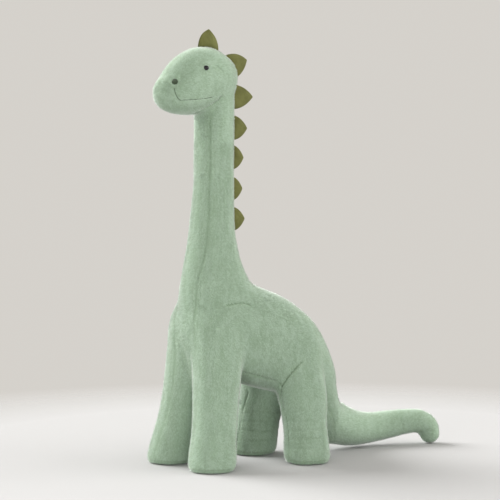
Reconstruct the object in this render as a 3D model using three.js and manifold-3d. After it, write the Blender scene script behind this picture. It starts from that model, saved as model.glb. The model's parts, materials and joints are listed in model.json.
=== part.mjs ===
// A large standing plush dinosaur with a long upright neck, a row of back spikes and a tail that
// trails on the floor. Millimetres, +Z up, the snout points to -Y and its left side is +X.
// Sewn covers, loose filling, a bent-wire frame, foot boards and face fittings are separate solids.
// The neck, head and tail turn on ball-ended fillings that sit in sockets of the filling before
// them, and each spike bends over on the line where its base is sewn on.

import * as THREE from 'three';
import { mergeVertices } from 'three/addons/utils/BufferGeometryUtils.js';
import Module from 'manifold-3d';

const wasm = await Module();
wasm.setup();

// ---- driving dimensions -------------------------------------------------------------------

const CLOTH = 5;            // backing and pile of the plush cover
const GAP = 0.4;            // left between pieces that touch
const SOCKET_GAP = 1;       // round a ball end in its socket
const SEAM_WIDTH = 0.5;     // kerf between two cover panels
const WIRE_RADIUS = 2.5;    // bent steel frame wire

const FOOT_RADIUS = 71;
const SOLE_HEIGHT = 10;
const BOARD_RADIUS = 58;
const BOARD_THICKNESS = 2.5;

const LIMB_SIDES = 12;       // facets round a neck, tail or leg

const SPIKE_THICKNESS = 12;
const EDGE_HALF = 0.7;       // half the thickness at a spike's sewn edge
const SPIKE_LIFT = 2.5; 
const EYE_RADIUS = 7.5;
const NOSTRIL_SIZE = [11, 8.5, 2];
const MOUTH_THREAD = 1.2;

// Each joint: the limb it is in, about where its ball sits, and how many degrees it bends.
const JOINT_PLACES = {
  neckLean: { limb: 'neck', near: [0, -87, 690], bend: 8 },
  neckSway: { limb: 'neck', near: [0, -82, 917], bend: 10 },
  headNod: { limb: 'neck', near: [0, -80, 1106], bend: 15 },
  tailSwing: { limb: 'tail', near: [-8, 405, 90], bend: 20 },
  tailLift: { limb: 'tail', near: [-10, 545, 63], bend: 20 },
  tailCurl: { limb: 'tail', near: [18, 672, 73], bend: 20 },
};

const HEAD_TURN = 6;        // the head looks slightly to its left

// Stations of each stuffed form: centre x, y, z, half-width across, half-depth.
const NECK = [
  [0, -44, 430, 60, 70],
  [0, -60, 488, 106, 126],
  [0, -76, 540, 102, 121],
  [0, -82, 585, 95, 106],
  [0, -86, 630, 86, 90],
  [0, -88, 680, 77, 78],
  [0, -88, 735, 69, 69],
  [0, -85, 800, 65, 65],
  [0, -83, 870, 61, 61],
  [0, -81, 950, 60, 60],
  [0, -80, 1040, 60, 60],
  [0, -80, 1110, 60, 60],
  [0, -78, 1190, 58, 58],
];

const TORSO = [
  [0, -168, 468, 62, 84],
  [0, -135, 462, 94, 116],
  [0, -85, 450, 113, 138],
  [0, -20, 428, 122, 150],
  [0, 60, 400, 127, 152],
  [0, 130, 372, 131, 147],
  [0, 190, 340, 130, 136],
  [0, 233, 300, 121, 119],
  [0, 268, 250, 109, 107],
  [0, 295, 195, 92, 92],
  [0, 330, 140, 76, 76],
];

const TAIL = [
  [0, 250, 225, 40, 40],
  [0, 305, 158, 80, 84],
  [-4, 360, 108, 72, 74],
  [-8, 405, 90, 66, 68],
  [-12, 475, 69, 58, 60],
  [-10, 545, 63, 50, 51],
  [2, 620, 68, 45, 45],
  [30, 695, 77, 39, 39],
  [47, 732, 76, 37, 37],
  [59, 758, 60, 35, 35],
  [65, 766, 31, 32, 32],
];

// Legs: the foot's centre on the floor, then the centre and the radius of the knee, the hip and
// the root inside the body.
const LEGS = {
  left_front: {
    foot: [95, -152], knee: [66, -118, 220], hip: [56, -108, 350], root: [50, -112, 455],
    radii: [69, 78, 75],
  },
  right_front: {
    foot: [-121, -171], knee: [-88, -132, 220], hip: [-68, -113, 350], root: [-57, -116, 452],
    radii: [69, 82, 77],
  },
  left_hind: {
    foot: [135, 187], knee: [104, 190, 200], hip: [70, 190, 300], root: [60, 192, 372],
    radii: [74, 80, 74],
  },
  right_hind: {
    foot: [-112, 146], knee: [-88, 172, 200], hip: [-64, 178, 300], root: [-58, 184, 372],
    radii: [74, 80, 74],
  },
};
const LEG_ROOT_RISE = 70;    // how far above its root a leg's stuffing ends inside the body

// The head, seen from its pivot: y, z, half-width, half-height, from the nape to the snout.
const HEAD = [
  [42, 106, 58, 66],
  [0, 106, 75, 88],
  [-42, 100, 80, 99],
  [-88, 84, 79, 96],
  [-128, 66, 75, 83],
  [-162, 52, 67, 66],
  [-185, 46, 55, 52],
];
const NAPE_DOME = 24;
const SNOUT_DOME = 30;

// Spikes stand on the centre line, where a line from a point inside (y, z), aimed so many degrees
// above straight back, leaves the cover. The first three are on the head, from its pivot.
const SPIKES = [
  { name: 'spike_1', on: 'head', aim: 88, from: [-26, 100], base: 84, height: 58 },
  { name: 'spike_2', on: 'head', aim: 24, from: [-26, 104], base: 82, height: 78 },
  { name: 'spike_3', on: 'head', aim: 0, from: [0, 52], base: 80, height: 93 },
  { name: 'spike_4', on: 'upperNeck', aim: 0, from: [-80, 1060], base: 80, height: 64 },
  { name: 'spike_5', on: 'upperNeck', aim: 0, from: [-80, 967], base: 80, height: 51 },
  { name: 'spike_6', on: 'lowerNeck', aim: 0, from: [-80, 868], base: 78, height: 47 },
  { name: 'spike_7', on: 'lowerNeck', aim: 0, from: [-85, 772], base: 78, height: 54 },
];

// ---- materials ----------------------------------------------------------------------------

const finish = (color, roughness, metalness = 0) => ({ color, roughness, metalness });

const PLUSH = finish('#8fae8c', 0.95);
const PLUSH_SHADE = finish('#7f9f7d', 0.95);
const SPIKE_VELOUR = finish('#76783a', 0.9);
const FILLING = finish('#f1efe8', 1);
const STEEL = finish('#9b9d9f', 0.35, 1);
const BOARD = finish('#e3ddcf', 0.6);
const GLOSS_BLACK = finish('#0c0c0d', 0.12);
const WASHER_PLASTIC = finish('#e8e8e4', 0.5);
const THREAD = finish('#35482a', 0.7);

// ---- solids -------------------------------------------------------------------------------

const vector = (p) => new THREE.Vector3(...p);

function toSolid(geometry) {
  const plain = geometry.index ? geometry.clone() : mergeVertices(geometry.clone());
  plain.deleteAttribute('normal');
  plain.deleteAttribute('uv');
  const merged = mergeVertices(plain, 1e-3);
  const mesh = new wasm.Mesh({
    numProp: 3,
    vertProperties: new Float32Array(merged.attributes.position.array),
    triVerts: new Uint32Array(merged.index.array),
  });
  return new wasm.Manifold(mesh);
}

function toGeometry(solid) {
  const { vertProperties, triVerts, numProp } = solid.getMesh();
  const positions = new Float32Array((vertProperties.length / numProp) * 3);
  for (let i = 0; i < positions.length / 3; i++) {
    positions.set(vertProperties.subarray(i * numProp, i * numProp + 3), i * 3);
  }
  const geometry = new THREE.BufferGeometry();
  geometry.setAttribute('position', new THREE.BufferAttribute(positions, 3));
  geometry.setIndex(new THREE.BufferAttribute(new Uint32Array(triVerts), 1));
  geometry.computeVertexNormals();
  return geometry;
}

const box = (size, centre) => toSolid(new THREE.BoxGeometry(...size).translate(...centre));
const ball = (radius, centre) => toSolid(new THREE.SphereGeometry(radius, 12, 8).translate(...centre));

// A stuffed form: a smooth centre line with a half-width and a half-depth at each station.
function form(stations) {
  const centres = stations.map(([x, y, z]) => new THREE.Vector3(x, y, z));
  const girths = stations.map(([, , , wide, deep]) => new THREE.Vector3(wide, deep, 0));
  return {
    path: new THREE.CatmullRomCurve3(centres, false, 'centripetal'),
    girth: new THREE.CatmullRomCurve3(girths, false, 'catmullrom'),
  };
}

// The frame of a form at t: across, along and deep, a right-handed set.
function frameAt({ path, girth }, t) {
  const along = path.getTangent(t);
  const across = new THREE.Vector3(1, 0, 0).addScaledVector(along, -along.x).normalize();
  const deep = new THREE.Vector3().crossVectors(across, along);
  const size = girth.getPoint(t);
  return { centre: path.getPoint(t), along, across, deep, wide: size.x, thick: size.y };
}

// The solid of a form between two places on it, made thinner all round by inset. An overrun
// carries its ends straight on, so that it cuts clean through.
function loft(shape, options) {
  const { from = 0, to = 1, inset = 0, sides = 16, rows = 8 } = options;
  const { startDome = 0, endDome = 0, overrun = 0 } = options;
  const rings = [];
  const addRing = (t, push, shrink) => {
    const f = frameAt(shape, t);
    const centre = f.centre.addScaledVector(f.along, push);
    rings.push({ ...f, centre, wide: (f.wide - inset) * shrink, thick: (f.thick - inset) * shrink });
  };
  const domeSteps = [0.95, 0.72, 0.4];
  if (startDome) {
    domeSteps.forEach((s) => addRing(from, -(startDome - inset) * s, Math.sqrt(1 - s * s)));
  }
  if (overrun) addRing(from, -overrun, 1);
  for (let i = 0; i <= rows; i++) addRing(from + ((to - from) * i) / rows, 0, 1);
  if (overrun && !endDome) addRing(to, overrun, 1);
  if (endDome) {
    domeSteps.reverse().forEach((s) => addRing(to, (endDome - inset) * s, Math.sqrt(1 - s * s)));
  }
  const geometry = new THREE.CylinderGeometry(1, 1, 1, sides, rings.length - 1);
  const points = geometry.attributes.position;
  for (let i = 0; i < points.count; i++) {
    const ring = rings[Math.round((points.getY(i) + 0.5) * (rings.length - 1))];
    const point = ring.centre.clone()
      .addScaledVector(ring.across, points.getX(i) * ring.wide)
      .addScaledVector(ring.deep, points.getZ(i) * ring.thick);
    points.setXYZ(i, point.x, point.y, point.z);
  }
  return toSolid(geometry);
}

// The place on a form whose centre line passes nearest to a point.
function placeOn({ path }, point) {
  const target = vector(point);
  let best = 0;
  for (let t = 0; t <= 1; t += 0.001) {
    if (path.getPoint(t).distanceTo(target) < path.getPoint(best).distanceTo(target)) best = t;
  }
  return best;
}

// A big block that fills the side of a plane that its normal points to.
function halfSpace(point, normal, size = 2400) {
  const up = new THREE.Vector3(0, 0, 1);
  const turn = new THREE.Quaternion().setFromUnitVectors(up, vector(normal).normalize());
  const geometry = new THREE.BoxGeometry(size, size, size).translate(0, 0, size / 2);
  return toSolid(geometry.applyQuaternion(turn).translate(...point));
}

function tube(points, radius, sides = 6, steps = 16, closed = false) {
  const path = new THREE.CatmullRomCurve3(points.map(vector), closed, 'centripetal');
  path.getUtoTmapping = (u) => u; // as many steps between each two points, so tight bends stay round
  const outline = new THREE.Shape(
    Array.from({ length: sides }, (_, i) => {
      const angle = (i * 2 * Math.PI) / sides;
      return new THREE.Vector2(radius * Math.cos(angle), radius * Math.sin(angle));
    }),
  );
  return toSolid(new THREE.ExtrudeGeometry(outline, { steps, extrudePath: path, bevelEnabled: false }));
}

// The separate panels that a cover falls into once it is cut, in order of x.
function panels(solid, count) {
  const middleX = (piece) => {
    const { min, max } = piece.boundingBox();
    return (min[0] + max[0]) / 2;
  };
  return solid.decompose()
    .sort((a, b) => b.volume() - a.volume())
    .slice(0, count)
    .sort((a, b) => middleX(a) - middleX(b));
}

// ---- scene graph --------------------------------------------------------------------------

const model = new THREE.Group();

function addPiece(parent, name, shape, look) {
  const solid = shape.isBufferGeometry ? toSolid(shape) : toSolid(toGeometry(shape));
  const geometry = toGeometry(panels(solid, 1)[0]);
  const mesh = new THREE.Mesh(geometry, new THREE.MeshStandardMaterial(look));
  mesh.name = name;
  parent.add(mesh);
  return mesh;
}

// How far the parent side stops short of a joint so that the child's rim can swing past it.
const clearance = ({ radius, bend }) => radius * Math.sin((bend * Math.PI) / 180) + 3;

const beyond = (joint, offset = 0) => {
  const point = vector(joint.at).addScaledVector(joint.along, offset);
  return halfSpace(point.toArray(), joint.along.toArray());
};
const socket = (joint) => ball(joint.radius - CLOTH - GAP + SOCKET_GAP, joint.at);
// A ball end is smaller than its socket by more than the flats of both, so that it turns freely.
const ballRadius = (joint) => (joint.radius - CLOTH) * Math.cos(Math.PI / LIMB_SIDES) - 2 * GAP;
const ballEnd = (joint) => ball(ballRadius(joint), joint.at).subtract(beyond(joint, 1));

const neck = form(NECK);
const torso = form(TORSO);
const tail = form(TAIL);

const JOINTS = {};
for (const [name, { limb, near, bend }] of Object.entries(JOINT_PLACES)) {
  const shape = { neck, tail }[limb];
  const place = placeOn(shape, near);
  const { centre, along, wide, thick } = frameAt(shape, place);
  JOINTS[name] = { place, at: centre.toArray(), along, radius: Math.min(wide, thick), bend };
}
const between = (a, b, share) => a.map((value, i) => value + (b[i] - value) * share);

function legStations({ foot, knee, hip, root, radii: [atKnee, atHip, atRoot] }) {
  const floor = [...foot, 0];
  return [
    [...floor, FOOT_RADIUS, FOOT_RADIUS],
    [...between(floor, knee, 0.16), FOOT_RADIUS - 1, FOOT_RADIUS + 1],
    [...between(floor, knee, 0.55), FOOT_RADIUS - 5, FOOT_RADIUS - 4],
    [...knee, atKnee, atKnee],
    [...hip, atHip, atHip],
    [...root, atRoot, atRoot],
    [root[0] / 2, root[1], root[2] + LEG_ROOT_RISE, atRoot / 2, atRoot / 2],
  ];
}

const legForms = {};
for (const [name, leg] of Object.entries(LEGS)) legForms[name] = form(legStations(leg));

// ---- body ---------------------------------------------------------------------------------

// The whole outside of the body made thinner by inset, up to the neck and tail joints.
function bodyForm(inset) {
  let solid = loft(torso, { inset, sides: 14, rows: 7, startDome: 26 });
  solid = solid.add(loft(neck, { inset, to: JOINTS.neckLean.place, sides: LIMB_SIDES, rows: 4 }));
  return solid.add(loft(tail, { inset, to: JOINTS.tailSwing.place, sides: LIMB_SIDES, rows: 3 }));
}

const legForm = (name, inset) => loft(legForms[name], { inset, sides: LIMB_SIDES, rows: 5 });
const trimBody = (solid) => solid
  .subtract(beyond(JOINTS.neckLean, -clearance(JOINTS.neckLean)))
  .subtract(beyond(JOINTS.tailSwing, -clearance(JOINTS.tailSwing)));

let bodyOutside = bodyForm(0);
let bodyInside = bodyForm(CLOTH);
for (const name of Object.keys(LEGS)) {
  bodyOutside = bodyOutside.add(legForm(name, 0));
  bodyInside = bodyInside.add(legForm(name, CLOTH));
}
const aboveSoles = halfSpace([0, 0, SOLE_HEIGHT + GAP], [0, 0, 1]);
const bodyCover = trimBody(bodyOutside).subtract(bodyInside).intersect(aboveSoles);

// The underbody panel: chest, belly and the inner side of every leg. Its edges run down the
// middle of each leg, so its width is set apart for the front and the hind pair.
function underbody(grow) {
  const slab = (edges, y0, y1) => {
    const outline = new THREE.Shape();
    edges.forEach(([x, z], i) => {
      const edge = x + Math.sign(x) * grow;
      if (i === 0) outline.moveTo(edge, z);
      else outline.lineTo(edge, z);
    });
    const depth = y1 - y0;
    const geometry = new THREE.ExtrudeGeometry(outline, { depth, bevelEnabled: false, steps: 1 });
    return toSolid(geometry.rotateX(Math.PI / 2).translate(0, y1, 0));
  };
  const front = [
    [-56, 720], [-80, 350], [-84, 250], [-124, -20], [98, -20], [66, 250], [64, 350], [56, 720],
  ];
  const hind = [[-84, 720], [-84, 250], [-114, -20], [138, -20], [72, 250], [72, 720]];
  const profile = new THREE.Shape();
  [[-420, 740], [-95, 740], [-95, 430], [-70, 335], [0, 300], [200, 262], [330, 165], [460, 60], [460, -30],
    [-420, -30]].forEach(([y, z], i) => {
    const lifted = z > 0 && y > -95 ? z + grow : z;
    const pushed = y === -95 ? y + grow : y;
    if (i === 0) profile.moveTo(pushed, lifted);
    else profile.lineTo(pushed, lifted);
  });
  const side = new THREE.ExtrudeGeometry(profile, { depth: 600, bevelEnabled: false });
  // The outline's own x and y become y and z, and its depth runs along x.
  side.applyMatrix4(new THREE.Matrix4().makeBasis(vector([0, 1, 0]), vector([0, 0, 1]), vector([1, 0, 0])));
  side.translate(-300, 0, 0);
  return slab(front, -420, 0).add(slab(hind, 0, 480)).intersect(toSolid(side));
}

const gusset = bodyCover.intersect(underbody(0));
const sides = bodyCover
  .subtract(underbody(SEAM_WIDTH))
  .subtract(box([SEAM_WIDTH, 1200, 900], [-4, 0, 400]));
const [rightSide, leftSide] = panels(sides, 2);

addPiece(model, 'left_side_cover', leftSide, PLUSH);
addPiece(model, 'right_side_cover', rightSide, PLUSH);
addPiece(model, 'underbody_gusset', gusset, PLUSH_SHADE);

// Frame wires. Each pair of legs has one wire with a loop lying on each foot board.
const WIRE_FLOOR = SOLE_HEIGHT + BOARD_THICKNESS + WIRE_RADIUS + 2;
const FOOT_LOOP = 26;

function legWire(left, right, top) {
  const down = ({ foot, knee, hip }) => {
    const loop = [];
    for (let i = 0; i <= 5; i++) {
      const angle = (i * Math.PI) / 3.4;
      const along = FOOT_LOOP * Math.sin(angle);
      const aside = FOOT_LOOP * (1 - Math.cos(angle));
      loop.push([foot[0] + along, foot[1] + aside, WIRE_FLOOR]);
    }
    const ankle = [foot[0] * 0.9 + knee[0] * 0.1, foot[1] * 0.9 + knee[1] * 0.1, WIRE_FLOOR + 22];
    return [...loop.reverse(), ankle, knee, [hip[0], hip[1], hip[2] - 60]];
  };
  return [...down(LEGS[left]), top, ...down(LEGS[right]).reverse()];
}

const WIRES = {
  spine_wire: [[0, -86, 600], [0, -70, 540], [0, -20, 470], [0, 60, 420], [0, 140, 395]],
  front_leg_wire: legWire('left_front', 'right_front', [0, -116, 420]),
  hind_leg_wire: legWire('left_hind', 'right_hind', [0, 205, 370]),
};
const wireSteps = { spine_wire: 8, front_leg_wire: 36, hind_leg_wire: 36 };
let wireBores = tube([[0, -86, 640], ...WIRES.spine_wire], WIRE_RADIUS + GAP + 0.4, 6, 12);
for (const [name, route] of Object.entries(WIRES)) {
  addPiece(model, name, tube(route, WIRE_RADIUS, 5, wireSteps[name]), STEEL);
  wireBores = wireBores.add(tube(route, WIRE_RADIUS + GAP, 5, wireSteps[name]));
}

const torsoFilling = trimBody(bodyForm(CLOTH + GAP))
  .subtract(socket(JOINTS.neckLean))
  .subtract(socket(JOINTS.tailSwing))
  .subtract(wireBores);
addPiece(model, 'torso_filling', torsoFilling, FILLING);

const bodyGrown = bodyForm(CLOTH);
const boardTop = SOLE_HEIGHT + BOARD_THICKNESS;
const aboveBoards = halfSpace([0, 0, boardTop + GAP], [0, 0, 1]);
const betweenLegs = box([2 * GAP, 900, 900], [-5, 0, 400]);
for (const [name, { foot }] of Object.entries(LEGS)) {
  const filling = legForm(name, CLOTH + GAP).intersect(aboveBoards)
    .subtract(bodyGrown).subtract(wireBores).subtract(betweenLegs);
  addPiece(model, `${name}_leg_filling`, filling, FILLING);

  const board = new THREE.CylinderGeometry(BOARD_RADIUS, BOARD_RADIUS, BOARD_THICKNESS - GAP, 16);
  board.rotateX(Math.PI / 2).translate(foot[0], foot[1], SOLE_HEIGHT + BOARD_THICKNESS / 2);
  addPiece(model, `${name}_foot_board`, board, BOARD);

  const rim = FOOT_RADIUS - 0.5;
  const dish = [
    [0, 0], [rim - 7, 0], [rim, 6], [rim, SOLE_HEIGHT],
    [rim - CLOTH, SOLE_HEIGHT], [rim - CLOTH - 3, CLOTH], [0, CLOTH],
  ].map(([r, z]) => new THREE.Vector2(r, z));
  const sole = new THREE.LatheGeometry(dish, 18).rotateX(Math.PI / 2).translate(foot[0], foot[1], 0);
  addPiece(model, `${name}_sole`, sole, PLUSH_SHADE);
}

// ---- neck ---------------------------------------------------------------------------------

const neckBlade = (angle) => {
  const geometry = new THREE.BoxGeometry(SEAM_WIDTH, 160, 1400).translate(0, -80, 800);
  return toSolid(geometry.rotateZ(angle).translate(0, -84, 0));
};
const THROAT_HALF_ANGLE = (46 * Math.PI) / 180;

// One length of neck from its own joint to the next one.
function addNeck(prefix, start, end, rows) {
  const from = start.place;
  const to = end.place;
  const stop = beyond(end, -clearance(end));
  const cover = loft(neck, { from, to, sides: LIMB_SIDES, rows })
    .subtract(loft(neck, { from, to, inset: CLOTH, sides: LIMB_SIDES, rows, overrun: 4 }))
    .subtract(stop)
    .subtract(neckBlade(THROAT_HALF_ANGLE))
    .subtract(neckBlade(-THROAT_HALF_ANGLE))
    .subtract(neckBlade(Math.PI));
  const [right, throat, left] = panels(cover, 3);
  addPiece(model, `${prefix}_neck_left_cover`, left, PLUSH);
  addPiece(model, `${prefix}_neck_right_cover`, right, PLUSH);
  addPiece(model, `${prefix}_throat_gusset`, throat, PLUSH_SHADE);

  const low = start.at[2] - start.radius + CLOTH + 10;
  const high = end.at[2] - end.radius + CLOTH - 8;
  const middle = [0, (start.at[1] + end.at[1]) / 2, (low + high) / 2];
  const route = [[0, start.at[1], low], middle, [0, end.at[1], high]];
  const bore = [[0, start.at[1], low - 60], ...route, [0, end.at[1], high + 60]];
  addPiece(model, `${prefix}_neck_wire`, tube(route, WIRE_RADIUS, 6, 4), STEEL);

  const filling = loft(neck, { from, to, inset: CLOTH + GAP, sides: LIMB_SIDES, rows })
    .subtract(stop)
    .subtract(socket(end))
    .add(ballEnd(start))
    .subtract(tube(bore, WIRE_RADIUS + 2 * GAP, 6, 8));
  addPiece(model, `${prefix}_neck_filling`, filling, FILLING);
}

addNeck('lower', JOINTS.neckLean, JOINTS.neckSway, 4);
addNeck('upper', JOINTS.neckSway, JOINTS.headNod, 2);

// ---- head ---------------------------------------------------------------------------------

const head = new THREE.Group();
head.position.set(...JOINTS.headNod.at);
head.rotation.z = (HEAD_TURN * Math.PI) / 180;
model.add(head);

const headForm = form(HEAD.map(([y, z, wide, high]) => [0, y, z, wide, high]));
const neckStub = form([[0, 0, 0, 60, 60], [0, 1, 40, 60, 60], [0, 2, 84, 58, 58]]);
const headOutside = (inset) => loft(headForm, {
  inset, sides: 16, rows: 6, startDome: NAPE_DOME, endDome: SNOUT_DOME,
}).add(loft(neckStub, { inset, sides: 14, rows: 2 }));

// Where a line from a point inside a cover leaves it, and the cover's normal there.
function surfaceAt(solid, origin, direction) {
  const mesh = new THREE.Mesh(toGeometry(solid), new THREE.MeshBasicMaterial({ side: THREE.DoubleSide }));
  const hits = new THREE.Raycaster(vector(origin), vector(direction).normalize()).intersectObject(mesh);
  const { point, face } = hits[hits.length - 1];
  return { point, normal: face.normal.clone() };
}

function placedAt({ point, normal }, geometry) {
  const turn = new THREE.Quaternion().setFromUnitVectors(new THREE.Vector3(0, 0, 1), normal);
  return toSolid(geometry.clone().applyQuaternion(turn).translate(point.x, point.y, point.z));
}

const latheUp = (profile, segments) => new THREE.LatheGeometry(
  profile.map(([r, z]) => new THREE.Vector2(r, z)), segments,
).rotateX(Math.PI / 2);

const STEM_RADIUS = 2;
const STEM_LENGTH = 15;
const eyeButton = latheUp([
  [0, -STEM_LENGTH], [STEM_RADIUS, -STEM_LENGTH], [STEM_RADIUS, 0.8], [EYE_RADIUS - 0.6, 0.8],
  [EYE_RADIUS, 1.8], [EYE_RADIUS * 0.86, 4.2], [EYE_RADIUS * 0.5, 5.8], [0, 6.4],
], 12);
const eyeSeat = latheUp([[0, -30], [STEM_RADIUS + GAP, -30], [STEM_RADIUS + GAP, 0],
  [EYE_RADIUS + 1, 0.2], [EYE_RADIUS + 1, 12], [0, 12]], 12);
const washerRing = latheUp([[STEM_RADIUS + GAP, -9.4], [9, -9.4], [9, -7.6], [STEM_RADIUS + GAP, -7.6],
  [STEM_RADIUS + GAP, -9.4]], 12);
const washerPocket = latheUp([[0, -9.9], [9.6, -9.9], [9.6, 0], [0, 0]], 12);

// Places on the face, from the head's pivot: the eye straight out to the side, the nostril and
// the mouth on lines that fan out from a point inside the snout.
const EYE_AT = { y: -85, z: 133 };
const NOSTRIL_AT = { y: -120, z: 87, angle: 30 };
const MOUTH_CENTRE_Y = -100;
const MOUTH_HALF_TURN = 128;
const MOUTH_HEIGHT = (share) => 20 + 13 * Math.sqrt(share) + 14 * share ** 5;

const headSkin = headOutside(0);
const openNeck = toSolid(new THREE.CylinderGeometry(60 - CLOTH, 60 - CLOTH, 60, 20).rotateX(Math.PI / 2));
let headCover = headSkin.subtract(headOutside(CLOTH)).subtract(openNeck);
let headFilling = headOutside(CLOTH + GAP);

for (const side of ['left', 'right']) {
  const sign = side === 'left' ? 1 : -1;
  const eye = surfaceAt(headSkin, [0, EYE_AT.y, EYE_AT.z], [sign, 0, 0]);
  addPiece(head, `${side}_eye`, placedAt(eye, eyeButton), GLOSS_BLACK);
  addPiece(head, `${side}_eye_washer`, placedAt(eye, washerRing), WASHER_PLASTIC);
  headCover = headCover.subtract(placedAt(eye, eyeSeat));
  headFilling = headFilling.subtract(placedAt(eye, eyeSeat)).subtract(placedAt(eye, washerPocket));

  const outward = (NOSTRIL_AT.angle * Math.PI) / 180;
  const nostril = surfaceAt(
    headSkin, [0, NOSTRIL_AT.y, NOSTRIL_AT.z], [sign * Math.sin(outward), -Math.cos(outward), 0],
  );
  const pad = (grow) => new THREE.SphereGeometry(1, 10, 5).rotateX(Math.PI / 2)
    .scale(NOSTRIL_SIZE[1] + grow, NOSTRIL_SIZE[0] + grow, NOSTRIL_SIZE[2] + grow);
  addPiece(head, `${side}_nostril`, placedAt(nostril, pad(0)), THREAD);
  headCover = headCover.subtract(placedAt(nostril, pad(GAP)));
}

// The mouth is one line of embroidery from cheek to cheek, round the front of the snout.
const MOUTH_STEPS = 9;
const mouthRoute = [];
for (let i = -MOUTH_STEPS; i <= MOUTH_STEPS; i++) {
  const share = Math.abs(i) / MOUTH_STEPS;
  const turn = (Math.sign(i) * share * MOUTH_HALF_TURN * Math.PI) / 180;
  const origin = [0, MOUTH_CENTRE_Y, MOUTH_HEIGHT(share)];
  mouthRoute.push(surfaceAt(headSkin, origin, [Math.sin(turn), -Math.cos(turn), 0]).point.toArray());
}
const mouthThread = (radius) => tube(mouthRoute, radius, 4, 22);
addPiece(head, 'mouth_stitching', mouthThread(MOUTH_THREAD), THREAD);
headCover = headCover.subtract(mouthThread(MOUTH_THREAD + GAP));

const CHIN_LINE = 14;
const chinBlock = (grow) => box([400, 400, 120], [0, -200 - 68 + grow, CHIN_LINE - 60 + grow]);
addPiece(head, 'chin_gusset', headCover.intersect(chinBlock(0)), PLUSH_SHADE);
const faces = headCover.subtract(chinBlock(SEAM_WIDTH)).subtract(box([SEAM_WIDTH, 900, 900], [0, 0, 0]));
const [rightFace, leftFace] = panels(faces, 2);
addPiece(head, 'left_face_cover', leftFace, PLUSH);
addPiece(head, 'right_face_cover', rightFace, PLUSH);
headFilling = headFilling.add(ball(ballRadius(JOINTS.headNod), [0, 0, 0]));
addPiece(head, 'head_filling', headFilling, FILLING);

// ---- tail ---------------------------------------------------------------------------------

// A thin upright sheet along the tail's centre line, which parts its left and right panels.
function tailBlade(from, to) {
  const lean = frameAt(tail, (from + to) / 2).across;
  const middle = tail.path.getPoint((from + to) / 2);
  const angle = Math.atan2(lean.y, lean.x);
  const blade = new THREE.BoxGeometry(SEAM_WIDTH, 500, 500);
  return toSolid(blade.rotateZ(angle).translate(middle.x, middle.y, middle.z));
}

function addTail(prefix, start, end, rows) {
  const from = start.place;
  const to = end ? end.place : 1;
  const endDome = end ? 0 : 30;
  let cover = loft(tail, { from, to, sides: LIMB_SIDES, rows, endDome })
    .subtract(loft(tail, { from, to, inset: CLOTH, sides: LIMB_SIDES, rows, endDome, overrun: 4 }))
    .subtract(tailBlade(from, to));
  let filling = loft(tail, { from, to, inset: CLOTH + GAP, sides: LIMB_SIDES, rows, endDome });
  if (end) {
    const stop = beyond(end, -clearance(end));
    cover = cover.subtract(stop);
    filling = filling.subtract(stop).subtract(socket(end));
  }
  filling = filling.add(ballEnd(start));
  const [right, left] = panels(cover, 2);
  addPiece(model, `${prefix}_left_cover`, left, PLUSH);
  addPiece(model, `${prefix}_right_cover`, right, PLUSH);
  addPiece(model, `${prefix}_filling`, filling, FILLING);
}

addTail('tail_base', JOINTS.tailSwing, JOINTS.tailLift, 4);
addTail('tail_middle', JOINTS.tailLift, JOINTS.tailCurl, 3);
addTail('tail_tip', JOINTS.tailCurl, null, 6);

// ---- spikes -------------------------------------------------------------------------------

// A puffed leaf: a pointed outline whose thickness swells from its sewn edges to the middle.
// Its base line lies along y and its tip points up.
function spikeGeometry(base, height, sag) {
  const geometry = new THREE.SphereGeometry(1, 10, 7).rotateX(Math.PI / 2);
  const points = geometry.attributes.position;
  for (let i = 0; i < points.count; i++) {
    const ring = new THREE.Vector2(points.getX(i), points.getY(i));
    const share = (points.getZ(i) + 1) / 2;
    const isPole = ring.length() < 1e-6;
    if (!isPole) ring.normalize();
    const halfBase = (base / 2) * (1 - share ** 2.1);
    const puff = Math.sqrt(Math.min(1, share * 3.2)) * (1 - share ** 3);
    const half = EDGE_HALF + (SPIKE_THICKNESS / 2 - EDGE_HALF) * puff;
    const dip = sag * ring.y ** 2 * (1 - share) ** 2;
    points.setXYZ(i, ring.x * half, ring.y * halfBase, share * height - dip);
  }
  return geometry;
}

const hosts = {
  head: { group: head, skin: headSkin },
  upperNeck: { group: model, skin: loft(neck, { sides: 20, rows: 14 }) },
};
hosts.lowerNeck = hosts.upperNeck;
for (const { name, on, aim, from, base, height } of SPIKES) {
  const { group, skin } = hosts[on];
  const spotAt = (degrees) => {
    const angle = (degrees * Math.PI) / 180;
    return surfaceAt(skin, [0, ...from], [0, Math.cos(angle), Math.sin(angle)]).point;
  };
  const root = spotAt(aim);
  const reach = Math.hypot(root.y - from[0], root.z - from[1]);
  const halfSpan = (Math.atan2(base / 2, reach) * 180) / Math.PI;
  const ends = [spotAt(aim - halfSpan), spotAt(aim + halfSpan)];
  const chord = ends[1].clone().sub(ends[0]).normalize();
  const outward = new THREE.Vector3(0, chord.z, -chord.y);
  const sag = Math.max(0, root.clone().sub(ends[0]).dot(outward));
  const spike = spikeGeometry(base, height, sag).rotateX(Math.atan2(-outward.y, outward.z));
  const mesh = addPiece(group, name, spike, SPIKE_VELOUR);
  mesh.position.copy(root).addScaledVector(outward, SPIKE_LIFT);
}

// ---- origin: the middle of the footprint, on the floor ------------------------------------

const extent = new THREE.Box3().setFromObject(model, true);
const middle = extent.getCenter(new THREE.Vector3());
model.position.set(-middle.x, -middle.y, 0);

const dinosaur = new THREE.Group();
dinosaur.add(model);

export default dinosaur;
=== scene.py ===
# A large standing plush dinosaur: one sewn skin of short green pile over a firm filling, a row of
# soft olive spikes, button eyes and an embroidered face. Metres, +Z up, the snout towards -Y.
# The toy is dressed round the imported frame, piece by piece, from the skin to the floor it stands on.
import json
import math

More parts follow.
